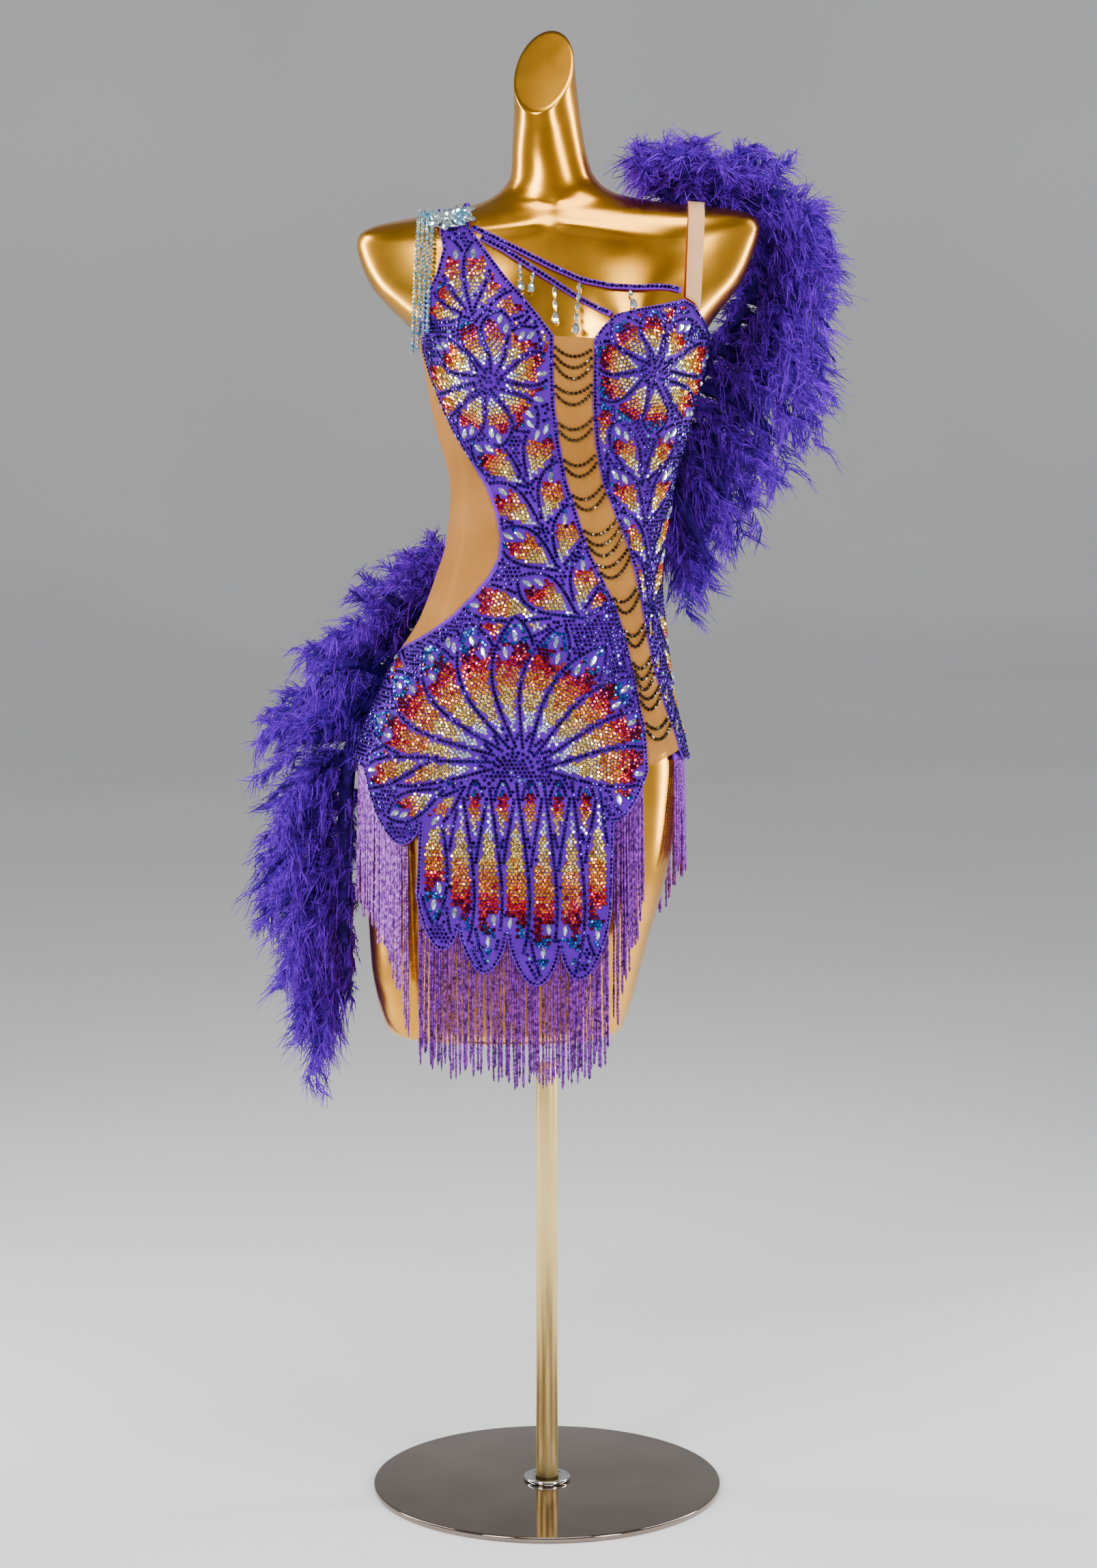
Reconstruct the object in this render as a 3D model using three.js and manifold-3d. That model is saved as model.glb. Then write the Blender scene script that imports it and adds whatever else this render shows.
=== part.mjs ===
// Latin dance dress worn by a limbless display form on a round stand.
// Millimetres, +Z up. The front faces -Y, the wearer's right is at -X, and the
// origin is the centre of the stand's underside.
//
// The form is one smooth loft through level sections. The dress is cut from a thin
// wall laid over that loft, so every panel keeps the worn, hollow shape.
import * as THREE from "three";
import { mergeVertices } from "three/addons/utils/BufferGeometryUtils.js";
import Module from "manifold-3d";

const wasm = await Module();
wasm.setup();

// ---- driving dimensions -------------------------------------------------------
const BASE_RADIUS = 175;
const BASE_THICK = 6;
const BASE_BEVEL = 2;
const FLANGE_RADIUS = 23.5;
const FLANGE_THICK = 4;
const POLE_RADIUS = 11;
const POLE_JOINT_Z = 420;
const SLEEVE_RADIUS = 12;
const SLEEVE_FOOT_Z = 438;
const FORM_FOOT_Z = 466;

const GAP = 0.3; // what two touching pieces keep between them
const CLOTH = 1.5; // wall of a sewn panel
const CLOTH_LIFT = 0.6; // from the form to a panel's inside
const FLARE = 4; // how much further the skirt stands off, over the fringe tape
const FLARE_TOP_Z = 802;
const FLARE_FULL_Z = 758;
const SIDE_SEAM_Y = 5;

const AROUND = 28; // points round a section
const BUST = { z: 1133, apart: 78, out: 40, wide: 41, high: 44 };

// ---- small helpers ------------------------------------------------------------
const V = (x, y, z) => new THREE.Vector3(x, y, z);
const mix = (a, b, t) => a + (b - a) * t;
const clamp = (v, low, high) => Math.min(high, Math.max(low, v));
const step = (a, b, v) => {
  const t = clamp((v - a) / (b - a), 0, 1);
  return t * t * (3 - 2 * t);
};
const signedPower = (v, e) => Math.sign(v) * Math.abs(v) ** e;
const radians = THREE.MathUtils.degToRad;

// A fixed scatter between -1 and 1, so that every run gives the same part.
const scatter = (i, kind = 0) => {
  const s = Math.sin(i * 12.9898 + kind * 78.233 + 1.7) * 43758.5453;
  return 2 * (s - Math.floor(s)) - 1;
};

const table = (columns, rows) =>
  rows.map((row) => Object.fromEntries(columns.map((name, i) => [name, row[i]])));

// A smooth curve through a table's rows that never overshoots them.
function curve(rows, key, name) {
  const n = rows.length;
  const slope = (i) =>
    (rows[i + 1][name] - rows[i][name]) / (rows[i + 1][key] - rows[i][key]);
  const tangent = (i) => {
    if (i === 0) return slope(0);
    if (i === n - 1) return slope(n - 2);
    const [a, b] = [slope(i - 1), slope(i)];
    return a * b <= 0 ? 0 : (2 * a * b) / (a + b);
  };
  return (at) => {
    let i = 0;
    while (i < n - 2 && at > rows[i + 1][key]) i++;
    const h = rows[i + 1][key] - rows[i][key];
    const t = clamp((at - rows[i][key]) / h, 0, 1);
    const [t2, t3] = [t * t, t * t * t];
    return (
      (2 * t3 - 3 * t2 + 1) * rows[i][name] +
      (t3 - 2 * t2 + t) * h * tangent(i) +
      (3 * t2 - 2 * t3) * rows[i + 1][name] +
      (t3 - t2) * h * tangent(i + 1)
    );
  };
}

const SECTION_COLUMNS = ["z", "x", "half", "front", "back", "power", "tiltX", "tiltY"];
const sections = (rows) => {
  const made = table(SECTION_COLUMNS, rows);
  const names = SECTION_COLUMNS.slice(1);
  const curves = names.map((name) => curve(made, "z", name));
  return (z) => Object.fromEntries(names.map((name, i) => [name, curves[i](z)]));
};

// ---- the figure ---------------------------------------------------------------
// z, centre x, half width, front y, back y, squareness, tilt across, tilt front to back
const UPPER_ROWS = [
  [800, -21, 145, -93, 121, 2.3, 0, 0],
  [839, -14, 132, -93, 114, 2.3, 0, 0],
  [877, -5, 118, -90, 99, 2.25, 0, 0],
  [915, 1, 109, -83, 84, 2.2, 0, 0],
  [954, 8, 104, -76, 72, 2.2, 0, 0],
  [992, 13, 105, -74, 70, 2.2, 0, 0],
  [1022, 15, 109, -76, 74, 2.2, 0, 0],
  [1053, 15, 118, -80, 80, 2.2, 0, 0],
  [1098, 16, 129, -85, 88, 2.2, 0, 0],
  [1133, 17, 136, -85, 91, 2.2, 0, 0],
  [1157, 12, 143, -83, 91, 2.2, 0, 0],
  [1180, 10, 162, -78, 90, 2.2, 0.01, 0],
  [1203, 10, 180, -72, 86, 2.2, 0.02, 0],
  [1230, 10, 191, -62, 78, 2.1, 0.03, 0],
  [1248, 11, 195, -55, 71, 2.0, 0.04, 0],
  [1257, 11, 192, -51, 67, 1.9, 0.04, 0],
  [1264, 11, 180, -47, 64, 1.75, 0.04, 0],
  [1269, 11, 156, -44, 61, 1.65, 0.04, 0],
  [1273, 10, 126, -41, 58, 1.65, 0.04, 0],
  [1277, 9, 98, -38, 55, 1.7, 0.04, 0],
  [1282, 8, 75, -35, 52, 1.8, 0.04, 0],
  [1288, 6, 58, -33, 49, 1.9, 0.04, 0],
  [1296, 5, 47, -31, 46, 2, 0.04, 0],
  [1308, 4, 39, -30, 43, 2, 0.06, 0.05],
  [1335, 1, 34.5, -29, 39, 2, 0.12, 0.32],
  [1370, -1, 31, -30, 36, 2, 0.24, 0.8],
  [1403, -3, 29, -33, 33, 2, 0.36, 1.2],
];
const FORM = sections([
  [FORM_FOOT_Z, -42, 106, -66, 68, 2.4, 0, 0],
  [469, -42, 113, -72, 74, 2.4, 0, 0],
  [475, -42, 118, -76, 79, 2.4, 0, 0],
  [520, -41, 131, -80, 86, 2.4, 0, 0],
  [566, -37, 139, -84, 93, 2.4, 0, 0],
  [632, -30, 150, -88, 104, 2.4, 0, 0],
  [680, -28, 155, -91, 112, 2.35, 0, 0],
  [730, -25.5, 157, -93, 119, 2.3, 0, 0],
  [765, -24, 152.5, -94, 122, 2.3, 0, 0],
  ...UPPER_ROWS,
]);
// The dress leaves the figure below the hip and hangs straight.
const DRESS = sections([
  [470, -27, 164, -106, 127, 2.3, 0, 0],
  [600, -27, 164, -104, 126, 2.3, 0, 0],
  [650, -27, 163.5, -102, 126, 2.3, 0, 0],
  [700, -26, 162.5, -99, 125, 2.3, 0, 0],
  [735, -25.5, 160, -95, 123.5, 2.3, 0, 0],
  [765, -24, 153.5, -94, 122, 2.3, 0, 0],
  ...UPPER_ROWS,
]);

// Both cups of the bust, as two soft rises of the front.
function bust(x, z, centre) {
  const rise = (side) => {
    const u = (x - centre - side * BUST.apart) / BUST.wide;
    const v = (z - BUST.z) / (z > BUST.z ? BUST.high * 1.25 : BUST.high);
    return Math.exp(-u * u - v * v);
  };
  return BUST.out * (rise(1) + rise(-1));
}

// A point of a figure at an angle round its section: 0 is the wearer's left side,
// -90 degrees is the front and 90 the back.
function onFigure(figure, angle, z) {
  const s = figure(z);
  const [c, d] = [Math.cos(angle), Math.sin(angle)];
  const middle = (s.front + s.back) / 2;
  const x = s.x + s.half * signedPower(c, 2 / s.power);
  const depth = ((s.back - s.front) / 2) * signedPower(d, 2 / s.power);
  const y = middle + depth - bust(x, z, s.x) * Math.max(0, -d);
  return V(x, y, z + s.tiltX * (x - s.x) + s.tiltY * (y - middle));
}

function normalOf(figure, angle, z) {
  const [da, dz] = [0.035, 0.8];
  const round = onFigure(figure, angle + da, z).sub(onFigure(figure, angle - da, z));
  const up = onFigure(figure, angle, z + dz).sub(onFigure(figure, angle, z - dz));
  return round.cross(up).normalize();
}

const lifted = (figure, angle, z, lift) =>
  onFigure(figure, angle, z).addScaledVector(normalOf(figure, angle, z), lift);

// The angle and level of the point of a figure that shows at x and z from the front
// (side -1) or from the back (side 1).
function seenAt(figure, x, z, side) {
  let level = z;
  let angle = 0;
  for (let i = 0; i < 6; i++) {
    const s = figure(level);
    const c = clamp((x - s.x) / s.half, -1, 1);
    angle = side * Math.acos(signedPower(c, s.power / 2));
    level += z - onFigure(figure, angle, level).z;
  }
  return { angle, level };
}
const seen = (figure, x, z, side, lift) => {
  const { angle, level } = seenAt(figure, x, z, side);
  return lifted(figure, angle, level, lift);
};

// ---- solids -------------------------------------------------------------------
function geometryOf(points, triangles) {
  const g = new THREE.BufferGeometry();
  g.setAttribute(
    "position",
    new THREE.Float32BufferAttribute(points.flatMap((p) => [p.x, p.y, p.z]), 3),
  );
  g.setIndex(triangles.flat());
  return g;
}

function solidOf(geometry) {
  const g = geometry.clone();
  g.deleteAttribute("normal");
  g.deleteAttribute("uv");
  const merged = mergeVertices(g, 1e-4);
  return new wasm.Manifold(
    new wasm.Mesh({
      numProp: 3,
      vertProperties: new Float32Array(merged.attributes.position.array),
      triVerts: new Uint32Array(merged.index.array),
    }),
  );
}

function geometryFrom(solid) {
  const mesh = solid.getMesh();
  const g = new THREE.BufferGeometry();
  g.setAttribute("position", new THREE.BufferAttribute(mesh.vertProperties, 3));
  g.setIndex(new THREE.BufferAttribute(mesh.triVerts, 1));
  g.computeVertexNormals();
  return g;
}

// The quads between rings of points, as triangles. Rings run counter-clockwise
// about the direction in which they follow each other.
function skin(rings, first = 0, inward = false) {
  const n = rings[0].length;
  const made = [];
  for (let i = 0; i + 1 < rings.length; i++)
    for (let j = 0; j < n; j++) {
      const k = (j + 1) % n;
      const [a, b] = [first + i * n + j, first + i * n + k];
      const [c, d] = [first + (i + 1) * n + k, first + (i + 1) * n + j];
      if (inward) made.push([a, c, b], [a, d, c]);
      else made.push([a, b, c], [a, c, d]);
    }
  return made;
}

// One closed body through rings, with a flat end at each side.
function loft(rings) {
  const n = rings[0].length;
  const last = (rings.length - 1) * n;
  const ends = [];
  for (let j = 1; j + 1 < n; j++)
    ends.push([0, j + 1, j], [last, last + j, last + j + 1]);
  return geometryOf(rings.flat(), [...skin(rings), ...ends]);
}

// A body swept along points: each has a centre p, two cross directions u and v
// and half sizes a and b. sides 4 gives a flat band.
function sweep(stations, sides) {
  const turn = sides === 4 ? Math.PI / 4 : 0;
  const size = sides === 4 ? Math.SQRT2 : 1;
  return loft(
    stations.map(({ p, u, v, a, b }) =>
      Array.from({ length: sides }, (_, j) => {
        const t = turn + (2 * Math.PI * j) / sides;
        return p
          .clone()
          .addScaledVector(u, a * size * Math.cos(t))
          .addScaledVector(v, b * size * Math.sin(t));
      }),
    ),
  );
}

// Stations of a round strand through points, thinner or thicker by radii.
function strand(points, radii, sides) {
  return sweep(
    points.map((p, i) => {
      const along = points[Math.min(i + 1, points.length - 1)]
        .clone()
        .sub(points[Math.max(i - 1, 0)])
        .normalize();
      const helper = Math.abs(along.y) > 0.8 ? V(1, 0, 0) : V(0, 1, 0);
      const u = helper.cross(along).normalize();
      return { p, u, v: along.clone().cross(u), a: radii[i], b: radii[i] };
    }),
    sides,
  );
}

// A flat band laid on a figure along spots of angle and level.
function band(figure, spots, width, lift, thick) {
  const points = spots.map((s) => lifted(figure, s.angle, s.level, lift + thick / 2));
  return sweep(
    points.map((p, i) => {
      const along = points[Math.min(i + 1, points.length - 1)]
        .clone()
        .sub(points[Math.max(i - 1, 0)])
        .normalize();
      const out = normalOf(figure, spots[i].angle, spots[i].level);
      const across = out.clone().cross(along).normalize();
      return {
        p,
        u: across,
        v: along.clone().cross(across),
        a: width / 2,
        b: thick / 2,
      };
    }),
    4,
  );
}

const join = (parts) => wasm.Manifold.union(parts);

// ---- the dress wall and its panels ---------------------------------------------
const DRESS_LEVELS = [
  515, 600, 680, 735, 760, 780, 805, 835, 865, 895, 925, 955, 985, 1015, 1045, 1070,
  1093, 1113, 1133, 1152, 1172, 1195, 1218, 1236, 1250, 1259, 1265, 1270, 1275, 1281,
];
const ANGLES = Array.from({ length: AROUND }, (_, j) => (2 * Math.PI * j) / AROUND);

const liftAt = (z) =>
  CLOTH_LIFT + FLARE * (1 - step(FLARE_FULL_Z, FLARE_TOP_Z, z));

function dressWall() {
  const ring = (z, extra) =>
    ANGLES.map((angle) => lifted(DRESS, angle, z, liftAt(z) + extra));
  const outer = DRESS_LEVELS.map((z) => ring(z, CLOTH));
  const inner = DRESS_LEVELS.map((z) => ring(z, 0));
  const n = AROUND;
  const start = outer.length * n;
  const top = (outer.length - 1) * n;
  const rims = [];
  for (let j = 0; j < n; j++) {
    const k = (j + 1) % n;
    rims.push([j, start + k, k], [j, start + j, start + k]);
    rims.push([top + j, top + k, start + top + k]);
    rims.push([top + j, start + top + k, start + top + j]);
  }
  const points = [...outer.flat(), ...inner.flat()];
  return solidOf(
    geometryOf(points, [...skin(outer), ...skin(inner, start, true), ...rims]),
  );
}

// A block with a front-view outline of [x, z] points, from y0 to y1.
function block(outline, y0, y1) {
  const shape = new THREE.Shape(outline.map(([x, z]) => new THREE.Vector2(x, z)));
  const g = new THREE.ExtrudeGeometry(shape, { depth: y1 - y0, bevelEnabled: false });
  g.rotateX(Math.PI / 2);
  g.translate(0, y1, 0);
  return solidOf(g);
}
const FAR = 320;
const frontBlock = (outline) => block(outline, -FAR, SIDE_SEAM_Y - GAP / 2);
const backBlock = (outline) => block(outline, SIDE_SEAM_Y + GAP / 2, FAR);

// A seam line moved sideways by d, towards +X where it runs down.
function beside(points, d) {
  return points.map(([x, z], i) => {
    const [ax, az] = points[Math.max(i - 1, 0)];
    const [bx, bz] = points[Math.min(i + 1, points.length - 1)];
    const long = Math.hypot(bx - ax, bz - az);
    return [x - (d * (bz - az)) / long, z + (d * (bx - ax)) / long];
  });
}

// Rounded hem petals between valleys: from x, z to x, z, hanging by drop.
function petals(rows) {
  const STEPS = 7;
  return table(["x0", "z0", "x1", "z1", "drop"], rows).flatMap((r) =>
    Array.from({ length: STEPS }, (_, i) => {
      const t = (i + 1) / STEPS;
      const hang = r.drop * Math.sin(Math.PI * t) ** 0.62;
      return [mix(r.x0, r.x1, t), mix(r.z0, r.z1, t) - (i + 1 < STEPS ? hang : 0)];
    }),
  );
}

// Seam lines seen from the front, from the top down.
const NECKLINE = [
  [-74, 1300], [-74, 1254], [-56, 1230], [-39, 1207], [-24, 1190], [-8, 1171],
];
const STRIP_RIGHT_SIDE = [
  [6, 1153], [5, 1127], [7, 1088], [12, 1051], [18, 1018], [29, 983], [39, 950],
  [53, 921], [63, 900], [73, 870], [81, 836], [87, 806], [91, 781], [93.5, 740],
];
const STRIP_LEFT_SIDE = [
  [46, 1151], [45, 1122], [44, 1088], [46, 1051], [53, 1014], [65, 983], [75, 958],
  [83, 928], [89, 900], [94, 870], [101, 836], [109, 808], [115, 785], [123, 753],
];
const ARMHOLE = [[-119, 1165], [-116, 1185], [-104, 1210], [-98, 1234], [-102, 1256], [-105, 1300]];
const WAIST_CUT = [
  [-119, 1161], [-117, 1139], [-111, 1117], [-96, 1079], [-87, 1060], [-72, 1035],
  [-57, 1010], [-48, 985], [-44, 961], [-46, 941], [-55, 924], [-70, 906], [-89, 886],
  [-112, 868], [-135, 853], [-156, 832], [-200, 800],
];
const FRONT_HEM = [
  [94, 738],
  ...petals([[94, 738, 62, 692, 13]]),
  [60, 606],
  ...petals([
    [60, 606, 12, 572, 48],
    [12, 572, -38, 586, 45],
    [-38, 586, -84, 592, 43],
    [-84, 592, -123, 618, 36],
  ]),
  [-120, 690],
  ...petals([[-120, 690, -172, 736, 42]]),
  [-200, 742],
];
const BACK_TOP = [
  [-74, 1300], [-72, 1240], [-44, 1190], [0, 1152], [60, 1138], [110, 1150],
  [150, 1160], [157, 1150], [210, 1140],
];
const BACK_WAIST = [[210, 906], [120, 908], [30, 898], [-60, 872], [-140, 838], [-210, 795]];
const BACK_HEM = [
  [-210, 742],
  ...petals([
    [-190, 742, -130, 700, 20],
    [-130, 700, -60, 645, 26],
    [-60, 645, 10, 645, 28],
    [10, 645, 80, 690, 24],
    [80, 690, 132, 738, 16],
  ]),
  [210, 742],
];

const wall = dressWall();
// The largest body of a cut, without the crumbs that a cut can leave at a ridge.
function cut(...blocks) {
  const parts = wall.intersect(join(blocks)).decompose();
  return parts.sort((a, b) => b.volume() - a.volume())[0];
}

const frontRight = () =>
  cut(
    frontBlock([
      ...NECKLINE,
      ...beside(STRIP_RIGHT_SIDE, -GAP / 2),
      ...FRONT_HEM,
      ...beside(WAIST_CUT, GAP / 2).reverse(),
      ...ARMHOLE,
    ]),
  );

const frontLeft = () =>
  cut(
    frontBlock([
      ...beside(STRIP_LEFT_SIDE, GAP / 2),
      [128, 742],
      [200, 740],
      [200, 1140],
      [156, 1150],
      [152, 1161],
      [149, 1168],
      [139, 1182],
      [129, 1187],
      [114, 1183],
      [89, 1178],
      [65, 1172],
      [53, 1160],
    ]),
  );

const centreMesh = () =>
  cut(
    frontBlock([
      ...beside(STRIP_RIGHT_SIDE, GAP / 2),
      [123, 751.5],
      ...beside(STRIP_LEFT_SIDE, -GAP / 2).reverse().slice(1),
    ]),
  );

const sideMesh = () =>
  cut(
    frontBlock([
      [-121.5, 1162],
      ...beside(WAIST_CUT, -GAP / 2).slice(1),
      [-215, 790],
      [-215, 1140],
      [-132, 1150],
    ]),
  );

const backMesh = () =>
  cut(
    backBlock([
      ...BACK_TOP,
      ...beside(BACK_WAIST, -GAP / 2),
      [-210, 1140],
      [-132, 1150],
      [-121, 1165],
      [-114, 1200],
      [-106, 1240],
      [-105, 1300],
    ]),
  );

const backSkirt = () =>
  cut(
    backBlock([
      ...beside(BACK_WAIST, GAP / 2),
      ...BACK_HEM,
    ]),
  );

const leftStrap = () =>
  cut(
    block([[130.6, 1187.8], [139.4, 1182.9], [144, 1176], [153, 1300], [137, 1300]], -FAR, 0.01),
    block([[137, 1300], [138, 1157.6], [150, 1160.8], [153, 1300]], 0, FAR),
  );

// ---- straps and drops across the chest -------------------------------------------
const STRAP = { wide: 5.5, thick: 2.4, lift: 1.1 };
const UPPER_STRAP = [
  [-70, 1254], [-58, 1248.5], [-45, 1242], [-22, 1230.5], [5, 1217], [34, 1204.5],
  [60, 1199], [84, 1197.5], [106, 1198.5], [117, 1198], [126, 1195.5],
];
const LOWER_STRAP = [
  [-62.5, 1244.5], [-53, 1239.5], [-42, 1234], [-18, 1218.5], [5, 1204], [31, 1187.5],
  [50, 1177.5], [61, 1172.5],
];
function chestStrap(route) {
  const stops = route.flatMap(([x, z], i) => {
    const [nextX, nextZ] = route[i + 1] ?? [x, z];
    return i + 1 < route.length ? [[x, z], [(x + nextX) / 2, (z + nextZ) / 2]] : [[x, z]];
  });
  const spots = stops.map(([x, z]) => seenAt(DRESS, x, z, -1));
  return band(DRESS, spots, STRAP.wide, STRAP.lift, STRAP.thick);
}

// Drops of beads under the straps: the strap and x that they hang from, their lower
// end and how far that end stands off the figure.
const DROPS = table(
  ["strap", "x", "endX", "endZ", "off", "beads"],
  [
    [LOWER_STRAP, -26, -25, 1193, 6, 3],
    [LOWER_STRAP, -13, -16, 1192, 6, 1],
    [LOWER_STRAP, 7, 8, 1163, 6, 2],
    [UPPER_STRAP, 31, 30, 1153, 17, 4],
    [UPPER_STRAP, 78, 82, 1176, 6, 1],
  ],
);
const BEAD = 2.1;
const DROP_RADIUS = 3.8;
const DROP_LENGTH = 13;

// A string of beads that ends in a faceted drop, hanging down from its own origin.
function dropProfile(beads, length) {
  const room = (length - DROP_LENGTH) / beads;
  const profile = [V(0, 0, 0)];
  for (let i = 0; i < beads; i++) {
    profile.push(V(BEAD, -room * (i + 0.5), 0));
    profile.push(V(BEAD * 0.45, -room * (i + 1), 0));
  }
  profile.push(V(DROP_RADIUS, -length + DROP_LENGTH * 0.38, 0));
  profile.push(V(0, -length, 0));
  return profile.reverse().map((p) => new THREE.Vector2(p.x, p.y));
}

function beadDrop({ strap, x, endX, endZ, off, beads }) {
  const i = strap.findIndex(([at]) => at > x);
  const [[ax, az], [bx, bz]] = [strap[i - 1], strap[i]];
  const slope = (bz - az) / (bx - ax);
  const under = (STRAP.wide / 2 + GAP) * Math.hypot(1, slope);
  const z = az + slope * (x - ax) - under;
  const top = seen(DRESS, x, z, -1, STRAP.lift + STRAP.thick - GAP);
  const end = seen(DRESS, endX, endZ, -1, off);
  const length = top.distanceTo(end);
  const g = new THREE.LatheGeometry(dropProfile(beads, length), 6);
  const turn = new THREE.Quaternion().setFromUnitVectors(
    V(0, -1, 0),
    end.clone().sub(top).normalize(),
  );
  g.applyQuaternion(turn);
  g.translate(top.x, top.y, top.z);
  return g;
}

// ---- shoulder jewel ---------------------------------------------------------------
const JEWEL = { x: -91, z: 1259, lift: 5.6 };
// Pointed stones: place along and up the jewel's plane, turn, half length, half width.
const STONES = table(
  ["u", "v", "turn", "long", "wide"],
  [
    [0, 0, 20, 8.5, 5], [13, 1, -12, 9, 4], [-12, 5, 165, 9, 4], [7, 9, 50, 8, 3.8],
    [-5, 10, 115, 8, 3.8], [9, -8, -50, 8.5, 4.2], [-3, -10, -95, 8.5, 4.6],
    [-13, -5, 200, 8.5, 4], [19, -5, -28, 7, 3.6], [-21, 7, 158, 8, 3.6],
    [18, 6, 15, 7, 3.4],
  ],
);
// Crystal chains that hang from the jewel's outer end, clear of the arm's stump.
const CHAINS = table(
  ["x", "endX", "endZ"],
  [
    [-122, -129, 1137], [-117.6, -123.6, 1143], [-113.2, -118.4, 1152],
    [-108.8, -114, 1158],
  ],
);
const CHAIN_TOP = 1262;
const CHAIN_LEVELS = [1262, 1252, 1240, 1222, 1190];
const CHAIN_RADIUS = 1.9;
const CHAIN_LIFT = 6.8;

function chain({ x, endX, endZ }) {
  let front = Infinity;
  const points = [...CHAIN_LEVELS, endZ].map((z) => {
    const at = mix(x, endX, (CHAIN_TOP - z) / (CHAIN_TOP - endZ));
    const on = seen(DRESS, at, z, -1, CHAIN_LIFT);
    front = Math.min(front, on.y);
    return V(at, front, on.z);
  });
  return strand(points, points.map(() => CHAIN_RADIUS), 3);
}

function shoulderJewel() {
  const { angle, level } = seenAt(DRESS, JEWEL.x, JEWEL.z, -1);
  const out = normalOf(DRESS, angle, level);
  const centre = onFigure(DRESS, angle, level).addScaledVector(out, JEWEL.lift);
  const across = V(1, 0, 0).addScaledVector(out, -out.x).normalize();
  const up = out.clone().cross(across);
  const place = new THREE.Matrix4().makeBasis(across, up, out).setPosition(centre);
  const plate = new THREE.SphereGeometry(1, 12, 6).scale(20, 14, 2.2);
  const stones = STONES.map(({ u, v, turn, long, wide }, i) =>
    new THREE.OctahedronGeometry(1)
      .scale(long, wide, 3)
      .rotateZ(radians(turn))
      .translate(u, v, 1 + 0.6 * (i % 3)),
  );
  const chains = CHAINS.map(chain);
  const rail = [{ x: -124 }, { x: -111 }, { x: -98 }].map(({ x }) =>
    seen(DRESS, x, CHAIN_TOP, -1, CHAIN_LIFT),
  );
  const jewel = [plate, ...stones].map((g) => g.applyMatrix4(place));
  return join([...jewel, strand(rail, rail.map(() => 2.8), 4), ...chains].map(solidOf));
}

// ---- fringe -----------------------------------------------------------------------
const CORD_RADIUS = 1.3;
const CORD_ROOT = 0.6; // thin enough to end inside the tape
const TAPE = { wide: 6, thick: 1.5 };
const LEAN = 1.4; // how far a cord's end stands off beyond its root

// One tape with cords, its lift off the figure given: rows give an angle in degrees,
// the tape's level and the level that the cords reach there.
function fringe(rows, spacing, lift, seed) {
  const line = table(["angle", "z", "end"], rows);
  const level = curve(line, "angle", "z");
  const reach = curve(line, "angle", "end");
  const [first, last] = [line[0].angle, line.at(-1).angle];
  const place = (a) => lifted(DRESS, radians(a), level(a), lift + TAPE.thick / 2);
  const FINE = 200;
  const walk = [0];
  const spot = (i) => mix(first, last, i / FINE);
  for (let i = 1; i <= FINE; i++)
    walk.push(walk[i - 1] + place(spot(i)).distanceTo(place(spot(i - 1))));
  const angleAt = (length) => {
    const i = Math.max(1, walk.findIndex((w) => w >= length - 1e-6));
    return spot(i - 1 + (length - walk[i - 1]) / (walk[i] - walk[i - 1]));
  };
  const total = walk[FINE];
  const tapeSteps = Math.max(4, Math.round(total / 20));
  const tapeSpots = Array.from({ length: tapeSteps + 1 }, (_, i) => {
    const a = angleAt((total * i) / tapeSteps);
    return { angle: radians(a), level: level(a) };
  });
  const joints = tapeSpots.map(({ angle }) => place(THREE.MathUtils.radToDeg(angle)));
  const onTape = (at) => {
    const i = Math.min(Math.floor(at), tapeSteps - 1);
    return joints[i].clone().lerp(joints[i + 1], at - i);
  };
  const count = Math.floor((total - 3) / spacing);
  const cords = Array.from({ length: count }, (_, i) => {
    const length = 1.5 + spacing * (i + 0.5);
    const top = onTape((length / total) * tapeSteps);
    const angle = angleAt(length);
    const end = normalOf(DRESS, radians(angle), level(angle)).multiplyScalar(LEAN).add(top);
    end.x += 0.55 * scatter(i, seed + 1);
    end.z = reach(angle) + 9 * scatter(i, seed);
    return strand([top, end], [CORD_ROOT, CORD_RADIUS], 3);
  });
  const tape = band(DRESS, tapeSpots, TAPE.wide, lift, TAPE.thick);
  return join([tape, ...cords].map(solidOf));
}

const FRINGES = [
  {
    name: "fringe_front",
    spacing: 4.6,
    lift: 1.7,
    rows: [
      [-123.5, 624, 463], [-107, 598, 448], [-93, 592, 442], [-79, 578, 436],
      [-61, 612, 466],
    ],
  },
  {
    name: "fringe_thigh",
    spacing: 4.4,
    lift: 0.9,
    rows: [[-60, 702, 486], [-52, 722, 560], [-45, 744, 610]],
  },
  {
    name: "fringe_hip",
    spacing: 5,
    lift: 0.9,
    rows: [
      [-178, 746, 604], [-165, 745, 597], [-150, 741, 582], [-138, 716, 552],
      [-127, 704, 474],
    ],
  },
  {
    name: "fringe_back",
    spacing: 11,
    lift: 0.9,
    rows: [
      [-24, 746, 640], [0, 746, 634], [15, 744, 620], [52, 700, 520], [80, 656, 455],
      [99, 656, 450], [126, 708, 500], [160, 742, 580], [176, 746, 598],
    ],
  },
];

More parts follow.
